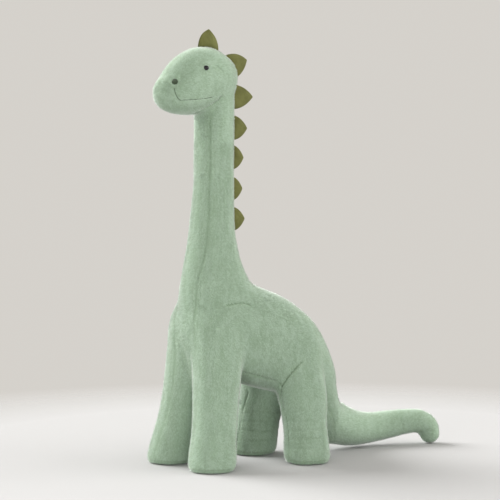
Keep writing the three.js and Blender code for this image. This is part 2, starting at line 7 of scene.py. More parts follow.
import bmesh
import bpy
import numpy as np
from mathutils import Matrix, Vector, noise
from mathutils.bvhtree import BVHTree
from mathutils.kdtree import KDTree

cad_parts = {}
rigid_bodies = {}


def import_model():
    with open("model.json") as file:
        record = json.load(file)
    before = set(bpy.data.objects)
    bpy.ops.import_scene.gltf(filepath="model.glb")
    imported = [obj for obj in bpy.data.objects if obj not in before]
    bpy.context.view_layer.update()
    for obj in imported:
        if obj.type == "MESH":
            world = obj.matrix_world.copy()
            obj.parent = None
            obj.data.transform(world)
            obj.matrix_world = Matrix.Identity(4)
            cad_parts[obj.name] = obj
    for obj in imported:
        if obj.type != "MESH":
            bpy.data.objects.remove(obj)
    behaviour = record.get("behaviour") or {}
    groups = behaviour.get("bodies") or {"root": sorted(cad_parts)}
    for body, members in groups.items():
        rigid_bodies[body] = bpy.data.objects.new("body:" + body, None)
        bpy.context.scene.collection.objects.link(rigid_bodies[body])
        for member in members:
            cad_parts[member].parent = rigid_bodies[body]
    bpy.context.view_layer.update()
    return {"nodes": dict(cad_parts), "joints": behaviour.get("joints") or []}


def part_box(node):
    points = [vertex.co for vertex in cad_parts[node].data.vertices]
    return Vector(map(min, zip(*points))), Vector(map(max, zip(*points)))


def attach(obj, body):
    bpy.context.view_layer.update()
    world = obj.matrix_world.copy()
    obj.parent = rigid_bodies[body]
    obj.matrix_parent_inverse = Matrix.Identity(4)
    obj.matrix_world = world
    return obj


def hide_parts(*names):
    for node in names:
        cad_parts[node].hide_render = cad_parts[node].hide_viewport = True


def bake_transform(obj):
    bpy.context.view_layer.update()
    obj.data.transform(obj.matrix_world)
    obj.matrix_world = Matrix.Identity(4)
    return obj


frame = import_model()

MM = 0.001
joints = {joint["name"]: joint for joint in frame["joints"]}


# ---- where the toy stands, and the camera -----------------------------------------------------
# Sizes are taken from a point on the floor between the feet, which the left front sole fixes.
# The camera stands low and to the left of the snout, with a long lens.
LEFT_FRONT_FOOT = Vector((95, -152, 0)) * MM
sole_low, sole_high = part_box("left_front_sole")
between_feet = (sole_low + sole_high) / 2 - LEFT_FRONT_FOOT
between_feet.z = 0

VIEW_DIRECTION = Vector((-0.8192, 0.5736, -0.0268))
CAMERA_PLACE = Vector((3.892, -2.6675, 0.800))
LENS_MM = 107.35

camera_data = bpy.data.cameras.new("camera")
camera_data.sensor_width = 36
camera_data.lens = LENS_MM
camera = bpy.data.objects.new("camera", camera_data)
camera.location = between_feet + CAMERA_PLACE
camera.rotation_euler = VIEW_DIRECTION.to_track_quat("-Z", "Y").to_euler()
bpy.context.scene.collection.objects.link(camera)
bpy.context.scene.camera = camera


# ---- plush ------------------------------------------------------------------------------------
# The cover is knitted polyester with a brushed pile a few millimetres long, sage green, its nap
# lying downwards. Light catches the tips, and the pile parts along each seam, where shade is painted
# in darker.
class Socket:
    """An output of a node. Sums with it add Math nodes to its net."""

    def __init__(self, net, output):
        self.net = net
        self.output = output

    def _math(self, operation, first, second):
        return self.net.add("ShaderNodeMath", {"operation": operation}, {0: first, 1: second})

    def __add__(self, other):
        return self._math("ADD", self, other)

    def __sub__(self, other):
        return self._math("SUBTRACT", self, other)

    def __rsub__(self, other):
        return self._math("SUBTRACT", other, self)

    def __mul__(self, other):
        return self._math("MULTIPLY", self, other)

    def __rmul__(self, other):
        return self._math("MULTIPLY", other, self)

    def __pow__(self, other):
        return self._math("POWER", self, other)

    def __gt__(self, other):
        return self._math("GREATER_THAN", self, other)

    def __lt__(self, other):
        return self._math("LESS_THAN", self, other)


class Net:
    """The nodes of a material or of a geometry tree."""

    def __init__(self, tree):
        self.tree = tree

    def add(self, kind, settings=None, sockets=None, output=0):
        """Adds a node, sets it up, fills or links its sockets, and gives one of its outputs."""
        node = self.tree.nodes.new(kind)
        for key, value in (settings or {}).items():
            setattr(node, key, value)
        for key, value in (sockets or {}).items():
            if isinstance(value, Socket):
                self.tree.links.new(value.output, node.inputs[key])
            else:
                node.inputs[key].default_value = value
        return Socket(self, node.outputs[output])

    def mix_colour(self, share, first, second):
        return self.add(
            "ShaderNodeMix", {"data_type": "RGBA"}, {0: share, 6: first, 7: second}, output=2
        )

    def fitted(self, value, low, high, to_low=0.0, to_high=1.0):
        return self.add(
            "ShaderNodeMapRange", None, {0: value, 1: low, 2: high, 3: to_low, 4: to_high}
        )

    def noise(self, where, scale, detail=2.0, roughness=0.5):
        return self.add(
            "ShaderNodeTexNoise", None,
            {"Vector": where, "Scale": scale, "Detail": detail, "Roughness": roughness},
        )

    def stretched(self, where, scale):
        return self.add("ShaderNodeVectorMath", {"operation": "MULTIPLY"}, {0: where, 1: scale})

    def bump(self, height, distance, strength=1.0):
        return self.add(
            "ShaderNodeBump", None, {"Height": height, "Distance": distance, "Strength": strength}
        )


def material(name, finish, sockets=None):
    """A new material. finish(net, position) gives the sockets of its surface that vary."""
    made = bpy.data.materials.new(name)
    made.use_nodes = True
    net = Net(made.node_tree)
    surface = made.node_tree.nodes["Principled BSDF"]
    for key, value in (sockets or {}).items():
        surface.inputs[key].default_value = value
    position = net.add("ShaderNodeTexCoord", output="Object")
    for key, value in finish(net, position).items():
        made.node_tree.links.new(value.output, surface.inputs[key])
    return made


PLUSH_LIGHT = (0.500, 0.650, 0.505, 1)
PLUSH_DEEP = (0.310, 0.430, 0.300, 1)
# The deep green of the painted shade in the seams and creases.
PLUSH_SEAM_SHADE = (0.095, 0.140, 0.075, 1)
PILE_SHEEN = {
    "Sheen Weight": 1.0, "Sheen Roughness": 0.38, "Sheen Tint": (0.96, 1.0, 0.97, 1),
    "Specular IOR Level": 0.15, "Roughness": 0.95,
}


def plush_finish(net, position):
    """Mottled in slow patches, streaked down the nap and speckled by the pile's tips."""
    patches = net.noise(position, 11, 3)
    streaks = net.noise(net.stretched(position, (1, 1, 0.22)), 85, 3, 0.6)
    tips = net.noise(position, 420, 2, 0.7)
    tone = net.fitted(0.38 * patches + 0.32 * streaks + 0.30 * tips, 0.36, 0.62)
    pile = net.mix_colour(tone, PLUSH_DEEP, PLUSH_LIGHT)
    # Painted shade: the colour darkens towards a deep green along the seams and in the creases.
    furrow = net.add("ShaderNodeAttribute", {"attribute_name": "furrow"}, output="Fac")
    return {
        "Base Color": net.mix_colour(furrow * 0.75, pile, PLUSH_SEAM_SHADE),
        "Roughness": net.fitted(tips, 0.3, 0.7, 0.86, 1.0),
        "Normal": net.bump(0.55 * tips + 0.45 * streaks, 1.6 * MM, 0.8),
    }


plush = material("plush", plush_finish, PILE_SHEEN)


# ---- the skin ---------------------------------------------------------------------------------
# One cover of side panels, gussets and face panels, sewn, turned and stuffed firm until it is
# round. Each row of a form is its centre x, y, z, half-width and half-depth, in millimetres.
NECK = [
    [0, -44, 430, 60, 70], [0, -60, 488, 106, 126], [0, -76, 540, 102, 121],
    [0, -82, 585, 95, 106], [0, -86, 630, 86, 90], [0, -88, 680, 77, 78],
    [0, -88, 735, 69, 69], [0, -85, 800, 65, 65], [0, -83, 870, 61, 61],
    [0, -81, 950, 60, 60], [0, -80, 1040, 60, 60], [0, -80, 1110, 60, 60],
    [0, -78, 1190, 58, 58],
]
TORSO = [
    [0, -168, 468, 62, 84], [0, -135, 462, 94, 116], [0, -85, 450, 113, 138],
    [0, -20, 428, 122, 150], [0, 60, 400, 127, 152], [0, 130, 372, 131, 147],
    [0, 190, 340, 130, 136], [0, 233, 300, 121, 119], [0, 268, 250, 109, 107],
    [0, 295, 195, 92, 92], [0, 330, 140, 76, 76],
]
TAIL = [
    [0, 250, 225, 40, 40], [0, 305, 158, 80, 84], [-4, 360, 108, 72, 74],
    [-8, 405, 90, 66, 68], [-12, 475, 69, 58, 60], [-10, 545, 63, 50, 51],
    [2, 620, 68, 45, 45], [30, 695, 77, 39, 39], [47, 732, 76, 37, 37],
    [59, 758, 60, 35, 35], [65, 766, 31, 32, 32],
]
# Each leg: the centres of its foot, knee, hip and root, and the radii of the last three.
LEGS = {
    "left_front": ([95, -152, 0], [66, -118, 220], [56, -108, 350], [50, -112, 455], (69, 78, 75)),
    "right_front": (
        [-121, -171, 0], [-88, -132, 220], [-68, -113, 350], [-57, -116, 452], (69, 82, 77),
    ),
    "left_hind": ([135, 187, 0], [104, 190, 200], [70, 190, 300], [60, 192, 372], (74, 80, 74)),
    "right_hind": ([-112, 146, 0], [-88, 172, 200], [-64, 178, 300], [-58, 184, 372], (74, 80, 74)),
}
FOOT_RADIUS = 71
SOLE_HEIGHT = 11
LEG_ROOT_RISE = 70
# The head from its pivot at the top of the neck: y, z, half-width, half-height.
HEAD = [
    [42, 105, 57, 63], [0, 105, 75, 86], [-42, 100, 80, 99], [-88, 84, 79, 96],
    [-128, 66, 75, 83], [-162, 52, 67, 66], [-185, 46, 55, 52],
]
HEAD_PIVOT = Vector(joints["head_nod"]["pos_m"])
HEAD_TURN = Matrix.Rotation(math.radians(6), 4, "Z")
head_place = Matrix.Translation(HEAD_PIVOT) @ HEAD_TURN
body_place = Matrix.Translation(between_feet)


def smooth_rows(rows, count):
    """count rows on a smooth line through the given ones."""
    rows = np.array(rows, float)
    last = len(rows) - 1
    at = np.linspace(0, last, count)
    i = np.minimum(at.astype(int), last - 1)
    f = (at - i)[:, None]
    before, here = rows[np.maximum(i - 1, 0)], rows[i]
    after, beyond = rows[i + 1], rows[np.minimum(i + 2, last)]
    return 0.5 * (
        2 * here + (after - before) * f
        + (2 * before - 5 * here + 4 * after - beyond) * f**2
        + (3 * here - before - 3 * after + beyond) * f**3
    )


def stuffed_form(rows, place, start_dome=0, end_dome=0, sides=40, rings=48, level_below=0):
    """Points and faces of a round form along its rows, each end flat or domed by so much.

    Below a height its hoops turn level, so that a leaning leg still ends flat on the floor."""
    line = smooth_rows(rows, rings) * MM
    centres = line[:, :3]
    along = np.gradient(centres, axis=0)
    along /= np.linalg.norm(along, axis=1)[:, None]
    if level_below:
        lean = np.clip(centres[:, 2:] / (level_below * MM), 0, 1)
        along = along * lean + np.array([0, 0, 1]) * (1 - lean)
        along /= np.linalg.norm(along, axis=1)[:, None]
    across = np.array([1.0, 0, 0]) - along[:, :1] * along
    across /= np.linalg.norm(across, axis=1)[:, None]
    deep = np.cross(across, along)
    hoops = [(centres[k], across[k], deep[k], line[k, 3], line[k, 4]) for k in range(rings)]
    for dome, end, way in ((start_dome, 0, -1), (end_dome, rings - 1, 1)):
        for share in (0.35, 0.65, 0.87, 0.97) if dome else ():
            shrink = math.sqrt(1 - share**2)
            centre = centres[end] + way * along[end] * dome * share * MM
            hoop = (centre, across[end], deep[end], line[end, 3] * shrink, line[end, 4] * shrink)
            hoops.insert(0 if way < 0 else len(hoops), hoop)
    turns = np.linspace(0, 2 * math.pi, sides, endpoint=False)
    points = [
        centre + a * wide * math.cos(turn) + d * tall * math.sin(turn)
        for centre, a, d, wide, tall in hoops
        for turn in turns
    ]
    faces = [
        (h * sides + k, h * sides + (k + 1) % sides,
         (h + 1) * sides + (k + 1) % sides, (h + 1) * sides + k)
        for h in range(len(hoops) - 1)
        for k in range(sides)
    ]
    faces.append(tuple(range(sides))[::-1])
    faces.append(tuple(range((len(hoops) - 1) * sides, len(hoops) * sides)))
    return [place @ Vector(p) for p in points], faces


def leg_rows(foot, knee, hip, root, radii):
    """A leg's rows: a foot with a rounded rim, a straight shank, and a root that ends in the body."""
    foot, knee, hip = (np.array(p, float) for p in (foot, knee, hip))
    toe = FOOT_RADIUS
    rows = [[*foot, toe - 9, toe - 9], [*(foot + [0, 0, 3]), toe - 3.5, toe - 3.5]]
    for share, wide, tall in ((0.05, toe, toe), (0.16, toe - 1, toe + 1), (0.55, toe - 5, toe - 4)):
        rows.append([*(foot + (knee - foot) * share), wide, tall])
    rows += [[*centre, radius, radius] for centre, radius in zip((knee, hip, root), radii)]
    rows.append([root[0] / 2, root[1], root[2] + LEG_ROOT_RISE, radii[2] / 2, radii[2] / 2])
    return rows


def mesh_object(name, points, faces, edges=()):
    """A new object of plain mesh, in the scene."""
    mesh = bpy.data.meshes.new(name)
    mesh.from_pydata([tuple(p) for p in points], edges, faces)
    mesh.update()
    made = bpy.data.objects.new(name, mesh)
    bpy.context.scene.collection.objects.link(made)
    return made


def finished_mesh(source):
    """The object's mesh with its modifiers worked in and taken off."""
    evaluated = source.evaluated_get(bpy.context.evaluated_depsgraph_get())
    mesh = bpy.data.meshes.new_from_object(evaluated)
    source.modifiers.clear()
    source.data = mesh
    return source


def triples(items, key):
    """A vector of each item as the rows of an array."""
    flat = np.empty(len(items) * 3, np.float32)
    items.foreach_get(key, flat)
    return flat.reshape(-1, 3)


def points_of(mesh):
    return triples(mesh.vertices, "co").astype(float)


def normals_of(mesh):
    return triples(mesh.vertices, "normal").astype(float)


def move_points(mesh, points):
    mesh.vertices.foreach_set("co", points.astype(np.float32).ravel())
    mesh.update()


skin_points, skin_faces = [], []
head_rows = [[0, *row] for row in HEAD]
head_stub = [[0, 0, -12, 60, 60], [0, 1, 40, 60, 60], [0, 2, 84, 58, 58]]
forms = [
    stuffed_form(NECK, body_place, rings=90),
    stuffed_form(TORSO, body_place, start_dome=26, rings=70),
    stuffed_form(TAIL, body_place, end_dome=30, rings=80),
    stuffed_form(head_rows, head_place, start_dome=20, end_dome=30),
    stuffed_form(head_stub, head_place, rings=8),
]
forms += [
    stuffed_form(leg_rows(*leg), body_place, rings=110, level_below=80) for leg in LEGS.values()
]
for points, faces in forms:
    skin_faces += [tuple(len(skin_points) + k for k in face) for face in faces]
    skin_points += points
skin = mesh_object("skin", skin_points, skin_faces)

VOXEL = 8 * MM
remesh = skin.modifiers.new("joined", "REMESH")
remesh.mode = "VOXEL"
remesh.voxel_size = VOXEL
ease = skin.modifiers.new("eased", "SMOOTH")
ease.factor = 0.5
ease.iterations = 8
finished_mesh(skin)

# Where the legs and the neck grow out of the body the cloth runs over in one soft sweep.
SWEEPS = {
    "shoulders": ((0, -110, 430), (230, 190, 190), 110),
    "haunches": ((0, 190, 320), (230, 170, 130), 80),
    "neck_root": ((0, 10, 570), (170, 170, 110), 60),
    "tail_root": ((0, 330, 150), (120, 90, 110), 40),
}
for name, (centre, reach, passes) in SWEEPS.items():
    from_centre = (points_of(skin.data) - np.array(body_place @ (Vector(centre) * MM))) / MM
    share = np.clip(1.6 - 1.6 * np.linalg.norm(from_centre / np.array(reach), axis=1), 0, 1)
    swept = skin.vertex_groups.new(name=name)
    for k in np.flatnonzero(share > 0):
        swept.add([int(k)], float(share[k]), "REPLACE")
    sweep = skin.modifiers.new(name, "SMOOTH")
    sweep.factor = 0.5
    sweep.iterations = passes
    sweep.vertex_group = name
    finished_mesh(skin)

# The seams, each through points near the cloth, in millimetres from between the feet.
THROAT_SEAM = [
    [43, -122, 1090], [43, -123, 1040], [43, -123, 950], [44, -126, 870], [46, -129, 800],
    [49, -136, 735], [51, -145, 680], [47, -152, 630], [44, -163, 590], [46, -176, 520],
    [50, -182, 450], [52, -178, 405], [55, -181, 340], [58, -184, 250], [67, -196, 160],
    [75, -207, 90], [82, -217, 35], [85, -221, 12],
]
REAR_FRONT_LEG_SEAM = [
    [76, -84, 12], [72, -80, 60], [66, -66, 150], [62, -54, 230], [70, -34, 300],
]
BELLY_SEAM = [
    [70, -34, 286], [88, -10, 272], [99, 41, 252], [98, 75, 244], [96, 104, 238],
    [84, 122, 206], [97, 118, 174], [112, 120, 137], [124, 122, 70], [131, 118, 12],
]
THIGH_DART = [[96, 104, 238], [112, 116, 262], [124, 138, 292], [130, 163, 318]]
REAR_HIND_LEG_SEAM = [
    [140, 257, 12], [128, 256, 90], [112, 258, 170], [92, 280, 190], [60, 318, 150], [20, 372, 60],
]
SHOULDER_DART = [[96, -99, 505], [102, -68, 511], [104, -39, 512], [104, -13, 505]]
BACK_SEAM = [
    [0, -20, 1110], [0, -20, 1000], [0, -21, 900], [0, -19, 800], [0, -18, 735], [0, 0, 660],
    [0, 30, 600], [0, 66, 556], [0, 130, 524], [0, 190, 484], [0, 250, 425], [0, 300, 345],
    [0, 340, 250], [-4, 390, 170], [-8, 440, 138], [-12, 500, 120], [-10, 560, 112],
    [4, 630, 112], [30, 700, 116], [56, 752, 106], [84, 790, 70], [92, 800, 34],
]
UNDER_TAIL_SEAM = [
    [0, 330, 66], [-8, 405, 22], [-12, 475, 9], [-10, 545, 12], [2, 620, 23], [28, 700, 40],
]


def mirrored(route, front_shift=(0, 0), hind_shift=(0, 0)):
    """The right side's seam. Its feet stand elsewhere, so it drifts towards them lower down."""
    made = []
    for x, y, z in route:
        low = min(1, max(0, (330 - z) / 330))
        shift = front_shift if y < 0 else hind_shift
        made.append([-x + shift[0] * low, y + shift[1] * low, z])
    return made


FRONT_FOOT_SHIFT = (-26, -19)
HIND_FOOT_SHIFT = (23, -41)
# Each with how deep its furrow is: 1 is the full depth, which only the jaw's crease passes.
body_seams = [
    (THROAT_SEAM, 0.25), (REAR_FRONT_LEG_SEAM, 0.35), (BELLY_SEAM, 0.75), (THIGH_DART, 0.70),
    (REAR_HIND_LEG_SEAM, 0.20), (SHOULDER_DART, 0.50),
]
body_seams += [
    (mirrored(route, FRONT_FOOT_SHIFT, HIND_FOOT_SHIFT), depth) for route, depth in body_seams
]
body_seams += [(BACK_SEAM, 0.25), (UNDER_TAIL_SEAM, 0.25)]
for foot, *_ in LEGS.values():
    around_sole = [
        [foot[0] + FOOT_RADIUS * math.cos(turn), foot[1] + FOOT_RADIUS * math.sin(turn), SOLE_HEIGHT]
        for turn in np.linspace(0, 2 * math.pi, 25)
    ]
    body_seams.append((around_sole, 0.35))
# On the head, from its pivot: over the crown, the dart behind each eye, under the jaw, and the
# short line from the nostril to the mouth.
CROWN_SEAM = [
    [0, -212, 50], [0, -200, 90], [0, -170, 118], [0, -130, 148], [0, -88, 180], [0, -42, 199],
    [0, 0, 194], [0, 40, 172], [0, 62, 130], [0, 60, 60], [0, 60, 10],
]
EYE_DART = [[76, -52, 138], [78, -40, 130], [79, -30, 122]]
JAW_CREASE = [[20, -96, 2], [36, -80, 9], [52, -48, 23], [60, -31, 33], [64, -26, 43]]
NOSE_SEAM = [[42, -190, 62], [46, -187, 46], [49, -178, 27]]
head_seams = [(EYE_DART, 0.35), (JAW_CREASE, 1.2), (NOSE_SEAM, 0.2)]
head_seams += [([[-x, y, z] for x, y, z in route], depth) for route, depth in head_seams]
head_seams.append((CROWN_SEAM, 0.08))


def on_skin(route, place, tree, spacing=2.5 * MM):
    """The route laid on the skin, as close points."""
    points = [place @ (Vector(p) * MM) for p in route]
    length = sum((b - a).length for a, b in zip(points, points[1:]))
    fine = smooth_rows([tuple(p) for p in points], max(8, int(length / spacing)))
    return np.array([tree.find_nearest(Vector(p))[0] for p in fine])


def laid_seams():
    """Close points along every seam on the skin, and the depth of the furrow at each."""
    tree = BVHTree.FromObject(skin, bpy.context.evaluated_depsgraph_get())
    laid = [(on_skin(route, body_place, tree), depth) for route, depth in body_seams]
    laid += [(on_skin(route, head_place, tree), depth) for route, depth in head_seams]
    return (
        np.concatenate([line for line, _ in laid]),
        np.concatenate([np.full(len(line), depth) for line, depth in laid]),
    )


def nearest_in(others, points):
    """Each point's distance to the nearest of the others, and which one that is."""
    near = KDTree(len(others))
    for k, p in enumerate(others):
        near.insert(p, k)
    near.balance()
    found = [near.find(p) for p in points]
    return np.array([f[2] for f in found]), np.array([f[1] for f in found])


# Stuffing: air pressure pushes the panels out between the seams, which hold, and stops short.
PRESSURE = 4
PUFF_LIMIT = 6 * MM
PUFF_FRAMES = 20
before = points_of(skin.data)
line_points, _ = laid_seams()
away, _ = nearest_in(line_points, before)
held = skin.vertex_groups.new(name="held")
for k in np.flatnonzero((away < VOXEL) | (before[:, 2] < 14 * MM)):
    held.add([int(k)], 1, "REPLACE")
cloth = skin.modifiers.new("stuffing", "CLOTH")
cloth.settings.vertex_group_mass = "held"
cloth.settings.use_pressure = True
cloth.settings.uniform_pressure_force = PRESSURE
cloth.settings.effector_weights.gravity = 0
cloth.settings.quality = 3
cloth.collision_settings.use_collision = False
cloth.point_cache.frame_end = PUFF_FRAMES
for step in range(1, PUFF_FRAMES + 1):
    bpy.context.scene.frame_set(step)
finished_mesh(skin)
moved = points_of(skin.data) - before
far = np.linalg.norm(moved, axis=1)[:, None]
move_points(skin.data, before + moved * np.minimum(1, PUFF_LIMIT / np.maximum(far, 1e-9)))
bpy.context.scene.frame_set(1)

rounder = skin.modifiers.new("rounder", "SUBSURF")
rounder.levels = rounder.render_levels = 1
finished_mesh(skin)


# The furrow along each seam, where the thread pulls the cloth in, and the small puckers beside
# it. The filling shows through as slow lumps, and the hind legs hold a few creases.
FURROW_DEPTH = 4.5 * MM
FURROW_WIDTH = 4.0 * MM
PUCKER_DEPTH = 1.6 * MM
PUCKER_REACH = 20 * MM
LUMP_DEPTH = 2.0 * MM
CREASE_DEPTH = 4.5 * MM
# The creases lie between two heights, no further back than this, fainter on the left leg.
CREASES_PER_METRE = 210
CREASES_FOOT, CREASES_TOP, CREASES_REAR = 0.03, 0.19, 0.30
LEFT_LEG_SHARE = 0.4
SEAM_SHADE_WIDTH = 3.4 * MM


def noise_at(points, scale, seed):
    """Smooth noise from -1 to 1 at each point."""
    shift = Vector((seed * 17.3, seed * 5.1, seed * 9.7))
    return np.array([noise.noise(Vector(p) * scale + shift) for p in points])


line_points, line_depths = laid_seams()
points = points_of(skin.data)
normals = normals_of(skin.data)
away, which = nearest_in(line_points, points)
depth = line_depths[which]
furrow = np.exp(-((away / FURROW_WIDTH) ** 2)) * depth
beside = np.exp(-((away / PUCKER_REACH) ** 2)) * (1 - furrow) * np.minimum(1, depth * 1.6)
puckers = np.abs(noise_at(points, 46, 1)) * beside
lumps = noise_at(points, 9, 2) + 0.5 * noise_at(points, 21, 3)
crease_height = np.sin(points[:, 2] * CREASES_PER_METRE + 2.2 * noise_at(points, 12, 4))
on_hind_legs = np.clip((points[:, 1] - between_feet.y - 0.06) / 0.05, 0, 1)
on_hind_legs *= np.clip((CREASES_TOP - points[:, 2]) / 0.06, 0, 1)
on_hind_legs *= np.clip((points[:, 2] - CREASES_FOOT) / 0.03, 0, 1)
on_hind_legs *= points[:, 1] < between_feet.y + CREASES_REAR
on_hind_legs *= np.where(points[:, 0] < between_feet.x, 1.0, LEFT_LEG_SHARE)
creases = np.clip(-crease_height - 0.30, 0, 1) * on_hind_legs
creases *= 0.6 + 0.4 * noise_at(points, 7, 5)
push = -FURROW_DEPTH * furrow - PUCKER_DEPTH * puckers + LUMP_DEPTH * lumps
push -= CREASE_DEPTH * creases
points += normals * push[:, None]

# The cloth lies over the filling, never in it.
CLOTH_THICKNESS = 2.5 * MM
FILLING_REACH = 30 * MM
FILLING_NEAR = 15 * MM
filling_shapes = bmesh.new()
for name, node in frame["nodes"].items():
    if name.endswith("_filling"):
        filling_shapes.from_mesh(node.data)
filling_tree = BVHTree.FromBMesh(filling_shapes)
filling_shapes.free()
for k, point in enumerate(points):
    place, facing, _, gap = filling_tree.find_nearest(Vector(point), FILLING_REACH)
    if place is None:
        continue
    height = (Vector(point) - place).dot(facing)
    if height < CLOTH_THICKNESS and gap < FILLING_NEAR:
        points[k] += normals[k] * (CLOTH_THICKNESS - height)
points[:, 2] = np.maximum(points[:, 2], 0)
move_points(skin.data, points)
# How much shade is painted at each place by its seam or crease, for the materials and the pile.
shade = skin.data.attributes.new("furrow", "FLOAT", "POINT")
shading = np.exp(-((away / SEAM_SHADE_WIDTH) ** 2)) * np.minimum(1, depth * 1.8)
# The creases of the hind legs get painted shade as well.
shading = np.clip(shading + 0.38 * np.clip(creases * 1.6, 0, 1), 0, 1)
shade.data.foreach_set("value", shading.astype(np.float32))


# ---- the cover's pieces -----------------------------------------------------------------------
# The one skin is kept in lengths that meet in the middle of each stiff part. Each length holds
# one joint of the neck or tail, and each is a closed cushion.
def joint_at(name):
    return np.array(joints[name]["pos_m"])


def tail_way(name):
    """The tail's direction at a joint."""
    centres = smooth_rows(TAIL, 200)[:, :3] * MM + np.array(between_feet)
    nearest = np.argmin(np.linalg.norm(centres - joint_at(name), axis=1))
    way = centres[nearest + 2] - centres[nearest - 2]
    return way / np.linalg.norm(way)


UP = np.array([0.0, 0.0, 1.0])
NOD_WAY = np.array([0.0, -0.45, 0.893])
# Each length: the bodies it joins, the joint, the way along it, and where the bend starts and ends.
LENGTHS = {
    "body_cover": ("body", "lower_neck", "neck_lean", UP, -90, 90),
    "neck_cover": ("lower_neck", "upper_neck", "neck_sway", UP, -70, 70),
    "head_cover": ("upper_neck", "head", "head_nod", NOD_WAY, -50, 20),
    "tail_base_cover": ("body", "tail_base", "tail_swing", tail_way("tail_swing"), -54, 54),
    "tail_middle_cover": ("tail_base", "tail_middle", "tail_lift", tail_way("tail_lift"), -50, 50),
    "tail_tip_cover": ("tail_middle", "tail_tip", "tail_curl", tail_way("tail_curl"), -50, 50),
}
STANDS_FOR = {
    "body_cover": ["left_side_cover", "right_side_cover", "underbody_gusset"],
    "neck_cover": [
        "lower_neck_left_cover", "lower_neck_right_cover", "lower_throat_gusset",
        "upper_neck_left_cover", "upper_neck_right_cover", "upper_throat_gusset",
    ],
    "head_cover": ["left_face_cover", "right_face_cover", "chin_gusset"],
    "tail_base_cover": ["tail_base_left_cover", "tail_base_right_cover"],
    "tail_middle_cover": ["tail_middle_left_cover", "tail_middle_right_cover"],
    "tail_tip_cover": ["tail_tip_left_cover", "tail_tip_right_cover"],
}
SOLE_TOP = SOLE_HEIGHT * MM
TAIL_ROOT = 58 * MM
TAIL_TOP = 0.3
FOOT_REACH = 0.09


def length_of_face(middles):
    """Which length each face belongs to, by where its middle lies."""
    names = np.full(len(middles), "body_cover", dtype=object)
    lower = (joint_at("neck_lean")[2] + joint_at("neck_sway")[2]) / 2
    upper = (joint_at("neck_sway")[2] + joint_at("head_nod")[2]) / 2
    names[middles[:, 2] > lower] = "neck_cover"
    names[middles[:, 2] > upper] = "head_cover"
    swing, lift, curl = (joint_at(n) for n in ("tail_swing", "tail_lift", "tail_curl"))
    cuts = (
        ("tail_base_cover", swing - tail_way("tail_swing") * TAIL_ROOT, tail_way("tail_swing")),
        ("tail_middle_cover", (swing + lift) / 2, tail_way("tail_lift")),
        ("tail_tip_cover", (lift + curl) / 2, tail_way("tail_curl")),
    )
    low = middles[:, 2] < TAIL_TOP
    for name, place, way in cuts:
        names[low & ((middles - place) @ way > 0)] = name
    for leg, (foot, *_) in LEGS.items():
        centre = np.array(body_place @ (Vector(foot) * MM))
        near = np.hypot(middles[:, 0] - centre[0], middles[:, 1] - centre[1]) < FOOT_REACH
        names[near & (middles[:, 2] < SOLE_TOP)] = leg + "_sole_cover"
    return names


CAP_INSET = 6 * MM


def cushion(name, whole, chosen):
    """The chosen faces of the whole skin as a closed piece: each open edge is turned in and closed.

    Its shading carries on from the whole skin's, so that the next length meets it unseen."""
    shape = bmesh.new()
    shape.from_mesh(whole)
    shape.faces.ensure_lookup_table()
    drop = [f for f, keep in zip(shape.faces, chosen) if not keep]
    bmesh.ops.delete(shape, geom=drop, context="FACES")
    outside = set(shape.faces)
    open_edges = [e for e in shape.edges if e.is_boundary]
    loops = []
    while open_edges:
        edge = open_edges.pop()
        ring = [edge]
        reach = set(edge.verts)
        grown = True
        while grown:
            joined = [e for e in open_edges if e.verts[0] in reach or e.verts[1] in reach]
            grown = bool(joined)
            for e in joined:
                open_edges.remove(e)
                reach.update(e.verts)
            ring += joined
        loops.append((ring, reach))
    for ring, reach in loops:
        middle = sum((v.co for v in reach), Vector()) / len(reach)
        inner = {}
        for v in reach:
            to_middle = (middle - v.co).normalized()
            inner[v] = shape.verts.new(v.co + to_middle * CAP_INSET)
        hub = shape.verts.new(middle)
        for e in ring:
            a, b = e.verts
            face = e.link_faces[0]
            around = [loop.vert for loop in face.loops]
            if around[(around.index(a) + 1) % len(around)] is b:
                a, b = b, a
            shape.faces.new((a, b, inner[b], inner[a]))
            shape.faces.new((inner[a], inner[b], hub))
    made = bpy.data.meshes.new(name)
    is_outside = [f in outside for f in shape.faces]
    shape.to_mesh(made)
    shape.free()
    piece = bpy.data.objects.new(name, made)
    bpy.context.scene.collection.objects.link(piece)
    made.polygons.foreach_set("use_smooth", is_outside)
    return piece


def carried_shading(piece, whole_points, whole_normals):
    """Gives the piece's outer faces the whole skin's shading at its rims."""
    mesh = piece.data
    gaps, which = nearest_in(whole_points, points_of(mesh))
    kept = np.where((gaps < 0.1 * MM)[:, None], whole_normals[which], normals_of(mesh))
    corners = []
    for face in mesh.polygons:
        for v in face.vertices:
            corners.append(tuple(kept[v]) if face.use_smooth else tuple(face.normal))
    mesh.normals_split_custom_set(corners)


cloth_points = points_of(skin.data)
cloth_normals = normals_of(skin.data)
cloth_faces = [tuple(f.vertices) for f in skin.data.polygons]
middles = np.array([f.center for f in skin.data.polygons])
lengths = length_of_face(middles)
covers = {}
for name in sorted(set(lengths)):
    cover = cushion(name, skin.data, lengths == name)
    carried_shading(cover, cloth_points, cloth_normals)
    cover.data.materials.append(plush)
    covers[name] = cover


# ---- the pile ---------------------------------------------------------------------------------
# Tufts of the brushed pile stand on every length of the cover and lie downwards, or along the
# tail. They stop at the seams, where the pile is caught in the stitching.
TUFTS_PER_SQUARE_METRE = 150_000
TUFT_LENGTH = 6.0 * MM
TUFT_ROOT = 1.55 * MM
# No tufts stand where the furrow's shade passes this, and the tones part at these two values.
BARE_FURROW = 0.45
TONE_SPLITS = (0.41, 0.57)
PILE_TONES = {
    "pile_deep": (0.345, 0.474, 0.333, 1),
    "pile_middle": (0.398, 0.532, 0.396, 1),
    "pile_light": (0.462, 0.600, 0.470, 1),
}


